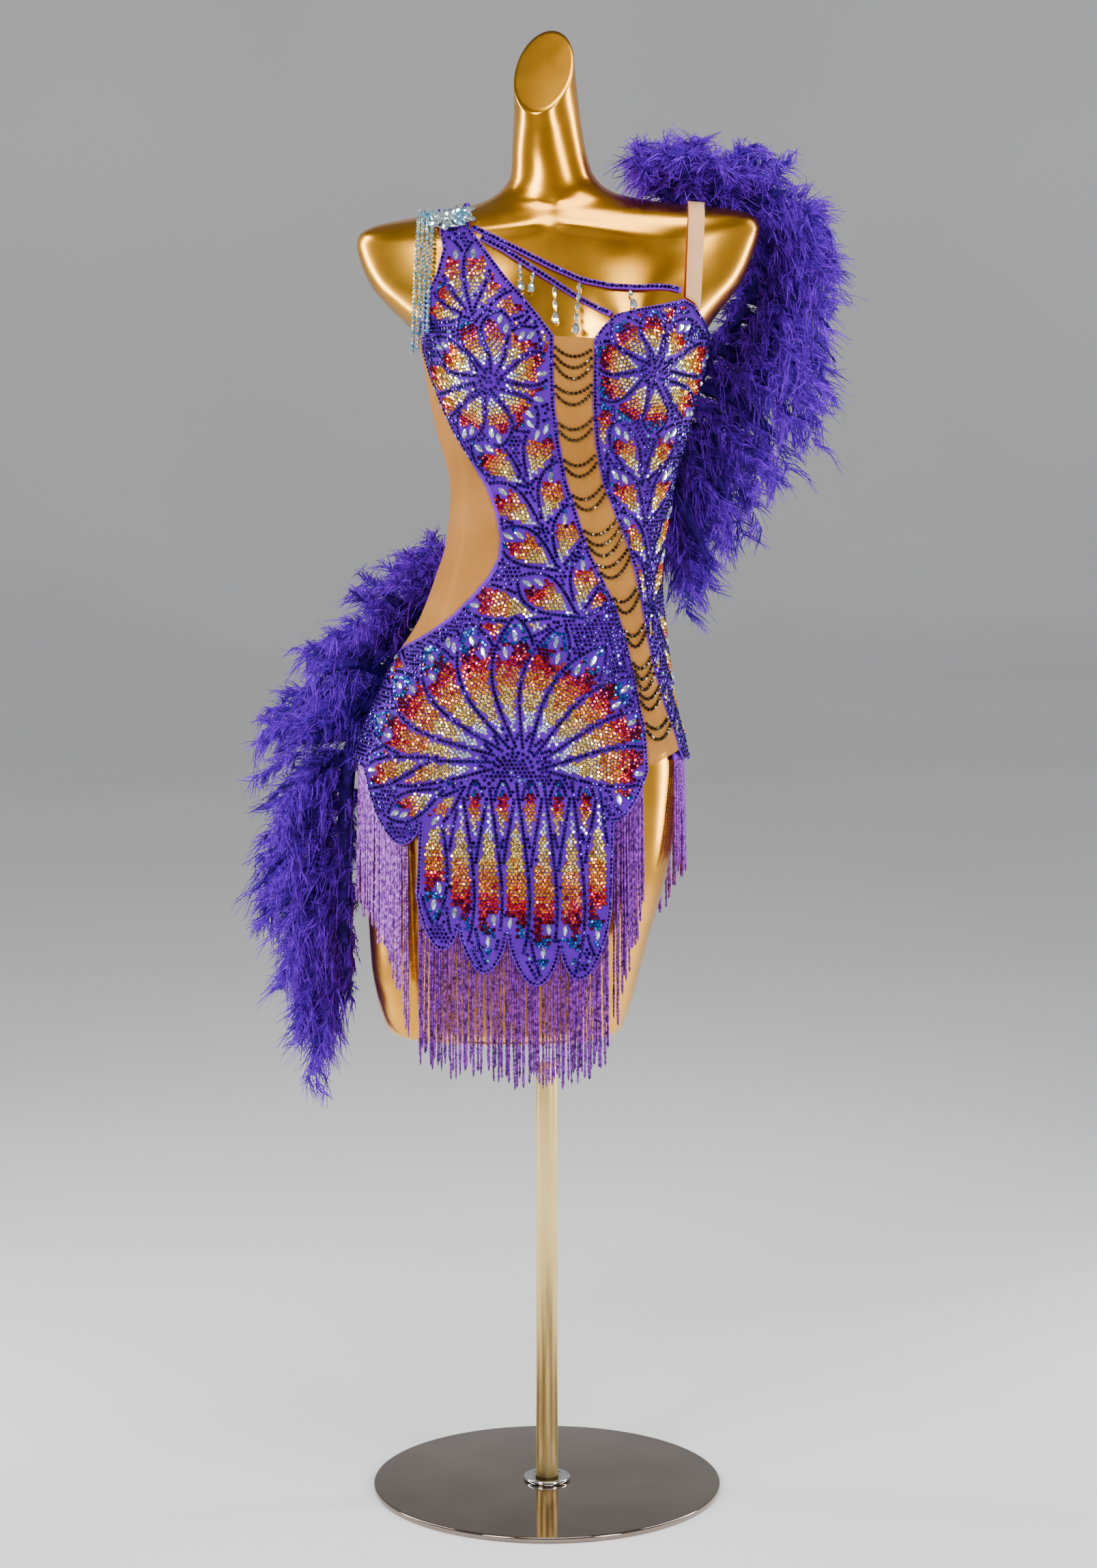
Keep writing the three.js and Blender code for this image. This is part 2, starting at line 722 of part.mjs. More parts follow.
// ---- feathers ---------------------------------------------------------------------
// The trim's route: a point on its cord, how far a plume reaches from there, which way
// it aims seen from the front (0 is +X, 90 is up) and how far its tip droops.
const ROUTE_COLUMNS = ["x", "y", "z", "reach", "aim", "droop"];
const SHOULDER_ROUTE = table(ROUTE_COLUMNS, [
  [112, 26, 1288, 62, 128, 7],
  [135, 34, 1284.3, 66, 100, 5],
  [165, 46, 1280.3, 72, 70, 9],
  [194, 57, 1266, 84, 38, 20],
  [212, 70, 1236, 86, 8, 40],
  [198, 84, 1186, 98, -8, 60],
  [160, 90, 1130, 118, -12, 58],
  [132, 84, 1070, 100, -16, 60],
  [112, 76, 1015, 80, -20, 60],
  [100, 74, 970, 60, -30, 60],
]);
const HIP_ROUTE = table(ROUTE_COLUMNS, [
  [88, 80, 934, 36, 270, 30],
  [40, 86, 922, 50, 260, 40],
  [-20, 90, 912, 56, 215, 36],
  [-74, 88, 900, 72, 128, 4],
  [-112, 76, 870, 84, 132, 6],
  [-150, 62, 826, 102, 150, 22],
  [-176, 50, 766, 108, 175, 30],
  [-186, 46, 700, 100, 185, 50],
  [-188, 44, 630, 88, 190, 60],
  [-188, 42, 560, 66, 200, 68],
  [-188, 42, 500, 44, 215, 74],
]);
const CORE = 8;
const KEEP_OFF = 1.9; // what the plumes keep from the cloth, past its own thickness
const PLUME_RADII = [7, 16, 13, 1.5];

// Moves a point level outward until it is clear of the cloth by margin.
function clearOf(point, margin) {
  const s = DRESS(point.z);
  const middle = (s.front + s.back) / 2;
  const off = margin + liftAt(point.z) + CLOTH;
  const wide = s.half + off;
  const deep = (s.back - s.front) / 2 + off;
  const [u, v] = [(point.x - s.x) / wide, (point.y - middle) / deep];
  const f = (Math.abs(u) ** s.power + Math.abs(v) ** s.power) ** (1 / s.power);
  if (f >= 1 || f === 0 || point.z > 1262) return point;
  return V(s.x + (u / f) * wide, middle + (v / f) * deep, point.z);
}

function feathers(route, plumes, seed) {
  const rows = route.map((row, i) => ({ ...row, i }));
  const [x, y, z, reach, aim, droop] = ROUTE_COLUMNS.map((name) => curve(rows, "i", name));
  const end = route.length - 1;
  const on = (t) => clearOf(V(x(t), y(t), z(t)), CORE + KEEP_OFF);
  const core = Array.from({ length: 2 * end + 1 }, (_, i) => on(i / 2));
  const made = [strand(core, core.map(() => CORE), 6)];
  for (let i = 0; i < plumes; i++) {
    const t = (end * (i + 0.5)) / plumes;
    const root = on(t);
    const turn = radians(aim(t) + 16 * scatter(i, seed));
    const aside = 0.5 * ((i % 3) - 1) + 0.15 * scatter(i, seed + 1);
    const dir = V(Math.cos(turn), aside, Math.sin(turn)).normalize();
    const long = reach(t) * (0.96 + 0.1 * scatter(i, seed + 2));
    const fall = droop(t) * (0.9 + 0.25 * scatter(i, seed + 3));
    const points = PLUME_RADII.map((radius, k) => {
      const q = k / (PLUME_RADII.length - 1);
      const p = root.clone().addScaledVector(dir, long * q ** 0.85);
      p.z -= fall * q * q;
      return k ? clearOf(p, KEEP_OFF + radius) : p;
    });
    made.push(strand(points, PLUME_RADII, 3));
  }
  return join(made.map(solidOf));
}

// ---- the form and its stand ---------------------------------------------------------
const FORM_LEVELS = [
  FORM_FOOT_Z, 469, 475, 490, ...DRESS_LEVELS, 1288, 1296, 1308, 1335, 1370, 1403,
];
const displayForm = () =>
  loft(FORM_LEVELS.map((z) => ANGLES.map((angle) => onFigure(FORM, angle, z))));

const turned = (profile, sides) =>
  new THREE.LatheGeometry(profile.map(([r, z]) => new THREE.Vector2(r, z)), sides).rotateX(
    Math.PI / 2,
  );
const tube = (radius, z0, z1, sides) =>
  turned([[0, z0], [radius, z0], [radius, z1], [0, z1]], sides);
const baseDisc = () =>
  turned(
    [
      [0, 0],
      [BASE_RADIUS - 1, 0],
      [BASE_RADIUS, 1],
      [BASE_RADIUS, BASE_THICK - BASE_BEVEL],
      [BASE_RADIUS - BASE_BEVEL, BASE_THICK],
      [0, BASE_THICK],
    ],
    48,
  );
function flange() {
  const [bore, foot] = [POLE_RADIUS + GAP, BASE_THICK + GAP];
  const top = foot + FLANGE_THICK;
  return turned(
    [
      [bore, foot],
      [FLANGE_RADIUS, foot],
      [FLANGE_RADIUS, top - 1],
      [FLANGE_RADIUS - 1, top],
      [bore, top],
      [bore, foot],
    ],
    24,
  );
}

// ---- materials ------------------------------------------------------------------------
const finish = (color, roughness, metalness) =>
  new THREE.MeshStandardMaterial({ color, roughness, metalness });
const GOLD = finish(0xb8860f, 0.22, 0.85);
const POLE_GOLD = finish(0xe6cf8e, 0.25, 1);
const CHROME = finish(0xd8d8da, 0.15, 1);
const MIRROR = finish(0x8a7d78, 0.08, 1);
const PURPLE = finish(0x6a2bd0, 0.5, 0);
const NUDE = finish(0xd29a5c, 0.6, 0);
const ELASTIC = finish(0xe6b98c, 0.7, 0);
const CRYSTAL = finish(0xdfeaf2, 0.05, 0.1);
const CORD = finish(0x7a3fb8, 0.4, 0);
const FEATHER = finish(0x3210b4, 0.8, 0);

// ---- the part ----------------------------------------------------------------------------
const part = new THREE.Group();
function add(name, shape, material) {
  const geometry = shape.isBufferGeometry ? shape : geometryFrom(shape);
  const mesh = new THREE.Mesh(geometry, material);
  mesh.name = name;
  part.add(mesh);
}

add("stand_base", baseDisc(), MIRROR);
add("stand_flange", flange(), CHROME);
add("stand_pole_lower", tube(POLE_RADIUS, BASE_THICK + GAP, POLE_JOINT_Z, 24), POLE_GOLD);
add("stand_pole_upper", tube(POLE_RADIUS, POLE_JOINT_Z + GAP, SLEEVE_FOOT_Z, 24), POLE_GOLD);
add("stand_sleeve", tube(SLEEVE_RADIUS, SLEEVE_FOOT_Z + GAP, FORM_FOOT_Z - GAP, 24), CHROME);
add("display_form", displayForm(), GOLD);

add("front_right", frontRight(), PURPLE);
add("front_left", frontLeft(), PURPLE);
add("centre_mesh", centreMesh(), NUDE);
add("side_mesh", sideMesh(), NUDE);
add("back_mesh", backMesh(), NUDE);
add("back_skirt", backSkirt(), PURPLE);
add("left_strap", leftStrap(), ELASTIC);
add("chest_strap_upper", chestStrap(UPPER_STRAP), PURPLE);
add("chest_strap_lower", chestStrap(LOWER_STRAP), PURPLE);
DROPS.forEach((drop, i) => add(`bead_drop_${i + 1}`, beadDrop(drop), CRYSTAL));
add("shoulder_jewel", shoulderJewel(), CRYSTAL);
FRINGES.forEach(({ name, rows, spacing, lift }, i) =>
  add(name, fringe(rows, spacing, lift, 10 * i), CORD),
);
add("feather_shoulder", feathers(SHOULDER_ROUTE, 24, 100), FEATHER);
add("feather_hip", feathers(HIP_ROUTE, 28, 200), FEATHER);

export default part;
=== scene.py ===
"""Looks of the latin dance dress on its display form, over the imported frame.

The worn shape is one smooth figure, worked out from the same level sections as the
solids. Panels, stones, fringe and feathers are laid on it. Lengths are millimetres
until a mesh is made.
"""

import math

import bpy
import numpy as np
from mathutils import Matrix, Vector
from mathutils.geometry import delaunay_2d_cdt


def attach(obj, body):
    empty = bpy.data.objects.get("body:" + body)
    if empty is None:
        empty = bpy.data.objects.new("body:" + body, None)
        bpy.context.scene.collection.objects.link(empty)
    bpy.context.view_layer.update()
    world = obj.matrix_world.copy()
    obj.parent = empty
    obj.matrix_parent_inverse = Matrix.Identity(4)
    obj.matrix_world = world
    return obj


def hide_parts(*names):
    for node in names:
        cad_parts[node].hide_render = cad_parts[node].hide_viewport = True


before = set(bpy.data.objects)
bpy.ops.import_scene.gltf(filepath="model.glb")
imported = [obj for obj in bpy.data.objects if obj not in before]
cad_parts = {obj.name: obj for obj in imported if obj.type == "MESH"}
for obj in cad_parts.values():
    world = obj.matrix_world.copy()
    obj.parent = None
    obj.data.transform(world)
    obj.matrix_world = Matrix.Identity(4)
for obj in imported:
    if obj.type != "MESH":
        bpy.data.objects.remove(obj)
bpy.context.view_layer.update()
MM = 0.001
dice = np.random.default_rng(7)

# ---- camera ----
camera = bpy.data.objects.new("camera", bpy.data.cameras.new("camera"))
bpy.context.scene.collection.objects.link(camera)
bpy.context.scene.camera = camera
camera.location = (0.0015, -3.5, 1.1847)
camera.rotation_euler = (math.radians(82.35), 0, 0)
camera.data.lens = 82.37

# ---- driving sizes ----
CLOTH = 1.5
CLOTH_LIFT = 0.6
FLARE = 4.0
FLARE_TOP_Z = 802
FLARE_FULL_Z = 758
SIDE_SEAM_Y = 5
SEAM_GAP = 0.3
BUST_Z, BUST_APART, BUST_OUT, BUST_WIDE, BUST_HIGH = 1133, 78, 40, 41, 44

# z, centre x, half width, front y, back y, squareness, tilt across, tilt front to back
UPPER_ROWS = [
    (800, -21, 145, -93, 121, 2.3, 0, 0),
    (839, -14, 132, -93, 114, 2.3, 0, 0),
    (877, -5, 118, -90, 99, 2.25, 0, 0),
    (915, 1, 109, -83, 84, 2.2, 0, 0),
    (954, 8, 104, -76, 72, 2.2, 0, 0),
    (992, 13, 105, -74, 70, 2.2, 0, 0),
    (1022, 15, 109, -76, 74, 2.2, 0, 0),
    (1053, 15, 118, -80, 80, 2.2, 0, 0),
    (1098, 16, 129, -85, 88, 2.2, 0, 0),
    (1133, 17, 136, -85, 91, 2.2, 0, 0),
    (1157, 12, 143, -83, 91, 2.2, 0, 0),
    (1180, 10, 162, -78, 90, 2.2, 0.01, 0),
    (1203, 10, 180, -72, 86, 2.2, 0.02, 0),
    (1230, 10, 191, -62, 78, 2.1, 0.03, 0),
    (1248, 11, 195, -55, 71, 2.0, 0.04, 0),
    (1257, 11, 192, -51, 67, 1.9, 0.04, 0),
    (1264, 11, 180, -47, 64, 1.75, 0.04, 0),
    (1269, 11, 156, -44, 61, 1.65, 0.04, 0),
    (1273, 10, 126, -41, 58, 1.65, 0.04, 0),
    (1277, 9, 98, -38, 55, 1.7, 0.04, 0),
    (1282, 8, 75, -35, 52, 1.8, 0.04, 0),
    (1288, 6, 58, -33, 49, 1.9, 0.04, 0),
    (1296, 5, 47, -31, 46, 2, 0.04, 0),
    (1308, 4, 39, -30, 43, 2, 0.06, 0.05),
    (1335, 1, 34.5, -29, 39, 2, 0.12, 0.32),
    (1370, -1, 31, -30, 36, 2, 0.24, 0.8),
    (1403, -3, 29, -33, 33, 2, 0.36, 1.2),
]
FORM_FOOT_Z = 466
FORM_ROWS = [
    (466, -42, 106, -66, 68, 2.4, 0, 0),
    (469, -42, 113, -72, 74, 2.4, 0, 0),
    (475, -42, 118, -76, 79, 2.4, 0, 0),
    (520, -41, 131, -80, 86, 2.4, 0, 0),
    (566, -37, 139, -84, 93, 2.4, 0, 0),
    (632, -30, 150, -88, 104, 2.4, 0, 0),
    (680, -28, 155, -91, 112, 2.35, 0, 0),
    (730, -25.5, 157, -93, 119, 2.3, 0, 0),
    (765, -24, 152.5, -94, 122, 2.3, 0, 0),
    *UPPER_ROWS,
]
DRESS_ROWS = [
    (470, -27, 164, -106, 127, 2.3, 0, 0),
    (600, -27, 164, -104, 126, 2.3, 0, 0),
    (650, -27, 163.5, -102, 126, 2.3, 0, 0),
    (700, -26, 162.5, -99, 125, 2.3, 0, 0),
    (735, -25.5, 160, -95, 123.5, 2.3, 0, 0),
    (765, -24, 153.5, -94, 122, 2.3, 0, 0),
    *UPPER_ROWS,
]


# ---- the figure ----
def smooth_curve(keys, values):
    """A smooth curve through values that never overshoots them."""
    slopes = np.diff(values) / np.diff(keys)
    before, after = slopes[:-1], slopes[1:]
    turning = before * after <= 0
    middle = np.where(turning, 0, 2 * before * after / np.where(turning, 1, before + after))
    tangents = np.concatenate([slopes[:1], middle, slopes[-1:]])

    def at(key):
        key = np.asarray(key, float)
        i = np.clip(np.searchsorted(keys, key, side="right") - 1, 0, len(keys) - 2)
        h = keys[i + 1] - keys[i]
        t = np.clip((key - keys[i]) / h, 0, 1)
        t2, t3 = t * t, t * t * t
        return (
            (2 * t3 - 3 * t2 + 1) * values[i]
            + (t3 - 2 * t2 + t) * h * tangents[i]
            + (3 * t2 - 2 * t3) * values[i + 1]
            + (t3 - t2) * h * tangents[i + 1]
        )

    return at


def table_curves(rows):
    """One smooth curve over the first column for each of the others."""
    columns = np.array(rows, float).T
    return [smooth_curve(columns[0], column) for column in columns[1:]]


def unit(vectors):
    """The same directions, one long."""
    return vectors / np.maximum(np.linalg.norm(vectors, axis=-1, keepdims=True), 1e-12)


def signed_power(v, exponent):
    return np.sign(v) * np.abs(v) ** exponent


def mix(a, b, t):
    return a + (b - a) * t


def walk_along(line):
    """How far along a line each of its points lies."""
    steps = np.linalg.norm(np.diff(line, axis=0), axis=1)
    return np.concatenate([[0], np.cumsum(steps)])


def sampled(values, walk, at):
    """Values that follow a walk, read at other distances along it."""
    return np.stack([np.interp(at, walk, column) for column in np.transpose(values)], -1)


def sideways(path, normal):
    """The direction across a path at each point, in the surface that it lies on."""
    return unit(np.cross(normal, unit(np.gradient(path, axis=0))))


def at_steps(path, normal, step):
    """Places and normals at even steps along a path, a little in from its ends."""
    walk = walk_along(path)
    at = np.arange(step / 2, walk[-1] - step / 3, step)
    return sampled(path, walk, at), unit(sampled(normal, walk, at))


class Figure:
    """A body through level sections. Angle 0 is the wearer's left, -90 degrees the front."""

    def __init__(self, rows):
        self.curves = table_curves(rows)

    def section(self, z):
        return [curve(z) for curve in self.curves]

    def point(self, angle, z):
        angle, z = np.broadcast_arrays(np.asarray(angle, float), np.asarray(z, float))
        cx, half, front, back, power, tilt_x, tilt_y = self.section(z)
        c, s = np.cos(angle), np.sin(angle)
        middle = (front + back) / 2
        x = cx + half * signed_power(c, 2 / power)
        depth = (back - front) / 2 * signed_power(s, 2 / power)
        y = middle + depth - self.bust(x, z, cx) * np.maximum(0, -s)
        return np.stack([x, y, z + tilt_x * (x - cx) + tilt_y * (y - middle)], -1)

    @staticmethod
    def bust(x, z, centre):
        v = (z - BUST_Z) / np.where(z > BUST_Z, BUST_HIGH * 1.25, BUST_HIGH)
        u = [(x - centre - side * BUST_APART) / BUST_WIDE for side in (1, -1)]
        return BUST_OUT * sum(np.exp(-a * a - v * v) for a in u)

    def normal(self, angle, z):
        around = self.point(angle + 0.02, z) - self.point(angle - 0.02, z)
        up = self.point(angle, z + 0.6) - self.point(angle, z - 0.6)
        return unit(np.cross(around, up))

    def lifted(self, angle, z, lift):
        lift = np.asarray(lift, float)[..., None]
        return self.point(angle, z) + self.normal(angle, z) * lift

    def seen(self, x, z, side):
        """The angle and level of what shows at x, z from the front (-1) or back (1)."""
        x, z = np.asarray(x, float), np.asarray(z, float)
        level = z.copy()
        for _ in range(8):
            cx, half, front, back, power, tilt_x, tilt_y = self.section(level)
            c = np.clip((x - cx) / half, -1, 1)
            angle = side * np.arccos(signed_power(c, power / 2))
            level = level + z - self.point(angle, level)[..., 2]
        return angle, level


FORM = Figure(FORM_ROWS)
DRESS = Figure(DRESS_ROWS)


def cloth_lift(z):
    """How far the cloth's inner face stands off the figure: more where the hem flares."""
    t = np.clip((np.asarray(z, float) - FLARE_FULL_Z) / (FLARE_TOP_Z - FLARE_FULL_Z), 0, 1)
    return CLOTH_LIFT + FLARE * (1 - t * t * (3 - 2 * t))


def above_cloth(angle, level, above):
    """Points and normals at a height above the cloth's outer face."""
    normal = DRESS.normal(angle, level)
    lift = cloth_lift(level) + CLOTH + above
    return DRESS.point(angle, level) + normal * lift[..., None], normal


# ---- meshes ----
def make_object(name, points, faces, materials, picks=None, smooth=True):
    """An object of millimetre points and equal-sided faces, with a material per face."""
    points = np.asarray(points, np.float32).reshape(-1, 3) * MM
    faces = np.asarray(faces, np.int32)
    mesh = bpy.data.meshes.new(name)
    mesh.vertices.add(len(points))
    mesh.vertices.foreach_set("co", points.ravel())
    mesh.loops.add(faces.size)
    mesh.loops.foreach_set("vertex_index", faces.ravel())
    mesh.polygons.add(len(faces))
    mesh.polygons.foreach_set("loop_start", np.arange(0, faces.size, faces.shape[1]))
    for material in materials:
        mesh.materials.append(material)
    if picks is not None:
        mesh.polygons.foreach_set("material_index", np.asarray(picks, np.int32))
    mesh.polygons.foreach_set("use_smooth", np.full(len(faces), smooth))
    mesh.update(calc_edges=True)
    thing = bpy.data.objects.new(name, mesh)
    bpy.context.scene.collection.objects.link(thing)
    return thing


def settle(thing, slot, *nodes):
    """The piece rides on the part and stands for CAD nodes; its slot is not used."""
    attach(thing, "root")
    if nodes:
        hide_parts(*nodes)
    return thing


def ring_faces(rings, around):
    """Quads between closed rings of points that follow each other."""
    i, j = np.meshgrid(np.arange(rings - 1), np.arange(around), indexing="ij")
    k = (j + 1) % around
    a, b = i * around + j, i * around + k
    return np.stack([a, b, b + around, a + around], -1).reshape(-1, 4)


def lofted_object(name, rings, material, smooth=True):
    """A body through rings of points, closed by a fan of triangles at both ends."""
    rings = np.asarray(rings, float)
    count, around = rings.shape[:2]
    points = np.concatenate([rings.reshape(-1, 3), [rings[0].mean(0), rings[-1].mean(0)]])
    hub = count * around
    top = hub - around
    j = np.arange(around)
    k = (j + 1) % around
    faces = [
        *ring_faces(count, around).tolist(),
        *np.stack([k, j, np.full(around, hub)], -1).tolist(),
        *np.stack([j + top, k + top, np.full(around, hub + 1)], -1).tolist(),
    ]
    mesh = bpy.data.meshes.new(name)
    mesh.from_pydata((points * MM).tolist(), [], faces)
    mesh.materials.append(material)
    mesh.polygons.foreach_set("use_smooth", np.full(len(mesh.polygons), smooth))
    thing = bpy.data.objects.new(name, mesh)
    bpy.context.scene.collection.objects.link(thing)
    return thing


def turned_rings(profile, around):
    """Rings of points round Z, through (radius, z) pairs."""
    turn = np.linspace(0, 2 * np.pi, around, endpoint=False)
    return [
        np.stack([r * np.cos(turn), r * np.sin(turn), np.full(around, float(z))], -1)
        for r, z in profile
    ]


def lathe(name, profile, material, around=128):
    """A body turned round Z from (radius, z) pairs."""
    return lofted_object(name, turned_rings(profile, around), material)


def thicken(thing, thick):
    """Gives a sheet its thickness, on its inner side."""
    wall = thing.modifiers.new("wall", "SOLIDIFY")
    wall.thickness = thick * MM
    wall.offset = -1


# ---- materials ----
def new_material(name):
    """A new material with its node tree and its Principled shader."""
    material = bpy.data.materials.new(name)
    material.use_nodes = True
    tree = material.node_tree
    return material, tree, tree.nodes["Principled BSDF"]


def node(tree, kind, inputs=(), **settings):
    """A new node with its settings, then its constant inputs."""
    made = tree.nodes.new(kind)
    for key, value in settings.items():
        setattr(made, key, value)
    for key, value in dict(inputs).items():
        made.inputs[key].default_value = value
    return made


def paint(tree, shader, source, stops):
    """Base colour from a ramp over a value, by (place, colour) stops."""
    made = node(tree, "ShaderNodeValToRGB")
    elements = made.color_ramp.elements
    while len(elements) < len(stops):
        elements.new(0.5)
    for element, (place, colour) in zip(elements, stops):
        element.position = place
        element.color = (*colour, 1)
    tree.links.new(source, made.inputs[0])
    tree.links.new(made.outputs[0], shader.inputs["Base Color"])
    return made.outputs[0]


def value_group(name, inputs, outputs):
    """A shader node group with its named sockets, and what its two end nodes hold."""
    group = bpy.data.node_groups.new(name, "ShaderNodeTree")
    for label, value in inputs.items():
        kind = "NodeSocketVector" if isinstance(value, tuple) else "NodeSocketFloat"
        socket = group.interface.new_socket(name=label, in_out="INPUT", socket_type=kind)
        socket.default_value = value
    for label in outputs:
        group.interface.new_socket(name=label, in_out="OUTPUT", socket_type="NodeSocketFloat")
    return group, node(group, "NodeGroupInput").outputs, node(group, "NodeGroupOutput").inputs


def soft_clouds_group():
    """Soft clouds fixed to the piece, coarse or fine, drawn out along an axis or even."""
    sockets = {"Scale": 20.0, "Detail": 3.0, "Stretch": (1.0, 1.0, 1.0)}
    group, given, out = value_group("soft_clouds", sockets, ["Clouds"])
    where = node(group, "ShaderNodeTexCoord")
    mapping = node(group, "ShaderNodeMapping")
    texture = node(group, "ShaderNodeTexNoise")
    group.links.new(where.outputs["Object"], mapping.inputs["Vector"])
    group.links.new(given["Stretch"], mapping.inputs["Scale"])
    group.links.new(mapping.outputs[0], texture.inputs["Vector"])
    group.links.new(given["Scale"], texture.inputs["Scale"])
    group.links.new(given["Detail"], texture.inputs["Detail"])
    group.links.new(texture.outputs["Fac"], out["Clouds"])
    return group


def crossed_threads_group():
    """Two crossed waves of thread, and their shade laid over clouds from outside."""
    sockets = {"Scale": 300.0, "Clouds": 0.5}
    group, given, out = value_group("crossed_threads", sockets, ["Threads", "Shade"])
    where = node(group, "ShaderNodeTexCoord")
    cross = node(group, "ShaderNodeMath", operation="MULTIPLY")
    shade = node(group, "ShaderNodeMath", {1: 0.45}, operation="MULTIPLY_ADD")
    for i, direction in enumerate("XZ"):
        waviness = {"Distortion": 0.6, "Detail": 1.0}
        wave = node(group, "ShaderNodeTexWave", waviness, bands_direction=direction)
        group.links.new(where.outputs["Object"], wave.inputs["Vector"])
        group.links.new(given["Scale"], wave.inputs["Scale"])
        group.links.new(wave.outputs["Fac"], cross.inputs[i])
    group.links.new(cross.outputs[0], shade.inputs[0])
    group.links.new(given["Clouds"], shade.inputs[2])
    group.links.new(cross.outputs[0], out["Threads"])
    group.links.new(shade.outputs[0], out["Shade"])
    return group


SOFT_CLOUDS = soft_clouds_group()
CROSSED_THREADS = crossed_threads_group()
WAVES_A_METRE = 0.314  # the wave texture's scale for threads one metre apart


def clouds(tree, scale, detail=3, stretch=(1, 1, 1)):
    """The soft clouds, placed in a material with its own values."""
    values = {"Scale": scale, "Detail": detail, "Stretch": stretch}
    return node(tree, "ShaderNodeGroup", values, node_tree=SOFT_CLOUDS).outputs["Clouds"]


def bump(tree, shader, height, strength, distance):
    """Small relief from a height that changes over the surface."""
    made = node(tree, "ShaderNodeBump", {"Strength": strength, "Distance": distance})
    tree.links.new(height, made.inputs["Height"])
    tree.links.new(made.outputs[0], shader.inputs["Normal"])


def finish_of(shader, **values):
    """Constant values, set on the shader's own sockets."""
    for key, value in values.items():
        shader.inputs[key.replace("_", " ")].default_value = value


def spread_between(tree, source, low, high):
    """A value moved from 0..1 to low..high."""
    made = node(tree, "ShaderNodeMapRange", {"To Min": low, "To Max": high})
    tree.links.new(source, made.inputs["Value"])
    return made.outputs[0]


def metal(name, dark, light, rough, scale=14, stretch=(1, 1, 1), coat=0.0):
    """Polished or lacquered metal, a little uneven in colour and gloss."""
    material, tree, shader = new_material(name)
    cloudy = clouds(tree, scale, 4, stretch)
    paint(tree, shader, cloudy, [(0.35, dark), (0.65, light)])
    fine = spread_between(tree, clouds(tree, scale * 9, 3, stretch), rough * 0.8, rough * 1.3)
    tree.links.new(fine, shader.inputs["Roughness"])
    finish_of(shader, Metallic=1.0, Coat_Weight=coat, Coat_Roughness=0.04)
    bump(tree, shader, cloudy, 0.06, 0.0004)
    return material


def woven(name, dark, light, pitch, rough, gloss, alpha=None):
    """Knitted or woven cloth: crossed threads over a soft change of colour."""
    material, tree, shader = new_material(name)
    scale = {"Scale": WAVES_A_METRE / pitch}
    threads = node(tree, "ShaderNodeGroup", scale, node_tree=CROSSED_THREADS)
    tree.links.new(clouds(tree, 22, 4), threads.inputs["Clouds"])
    paint(tree, shader, threads.outputs["Shade"], [(0.35, dark), (0.85, light)])
    finish_of(shader, Roughness=rough, Specular_IOR_Level=gloss)
    if alpha:
        see = spread_between(tree, threads.outputs["Threads"], *alpha)
        tree.links.new(see, shader.inputs["Alpha"])
    bump(tree, shader, threads.outputs["Threads"], 0.5, 0.0003)
    return material


def crystal(name, *colours):
    """Foil-backed cut glass, its colour changing from stone to stone."""
    material, tree, shader = new_material(name)
    stops = [(0.32 + 0.36 * i / (len(colours) - 1), c) for i, c in enumerate(colours)]
    paint(tree, shader, clouds(tree, 330, 1), stops)
    finish_of(shader, Metallic=0.85, Roughness=0.07, IOR=1.65)
    finish_of(shader, Coat_Weight=0.08, Coat_Roughness=0.02)
    return material


GOLD = metal("gold_lacquer", (0.74, 0.31, 0.012), (0.9, 0.43, 0.03), 0.21, 5, coat=0.12)
POLE_GOLD = metal("pale_gold", (0.84, 0.62, 0.22), (1.0, 0.80, 0.38), 0.4, 30, (1, 1, 0.1))
CHROME = metal("chrome", (0.62, 0.62, 0.64), (0.8, 0.8, 0.82), 0.09, 60)
MIRROR = metal("taupe_mirror", (0.25, 0.20, 0.165), (0.32, 0.265, 0.215), 0.05, 9)
SOCKET = metal("pale_socket", (0.72, 0.68, 0.6), (0.85, 0.82, 0.75), 0.28, 40)
# the stretch cloth's violet is set darker than its own colour, as painted shade between the stones;
# the binding keeps the brighter violet
VIOLET = woven("violet_stretch", (0.055, 0.0, 0.24), (0.12, 0.0, 0.46), 0.0007, 0.6, 0.1)
BINDING = woven("violet_binding", (0.10, 0.0, 0.36), (0.20, 0.0, 0.66), 0.0012, 0.5, 0.12)
THREAD = woven("violet_thread", (0.05, 0.0, 0.24), (0.12, 0.0, 0.5), 0.0008, 0.4, 0.2)
NUDE = woven("nude_mesh", (0.42, 0.165, 0.02), (0.56, 0.24, 0.045), 0.0009, 0.7, 0.2, alpha=(0.6, 1))
TAN = woven("tan_elastic", (0.62, 0.31, 0.13), (0.80, 0.46, 0.23), 0.0011, 0.6, 0.3)
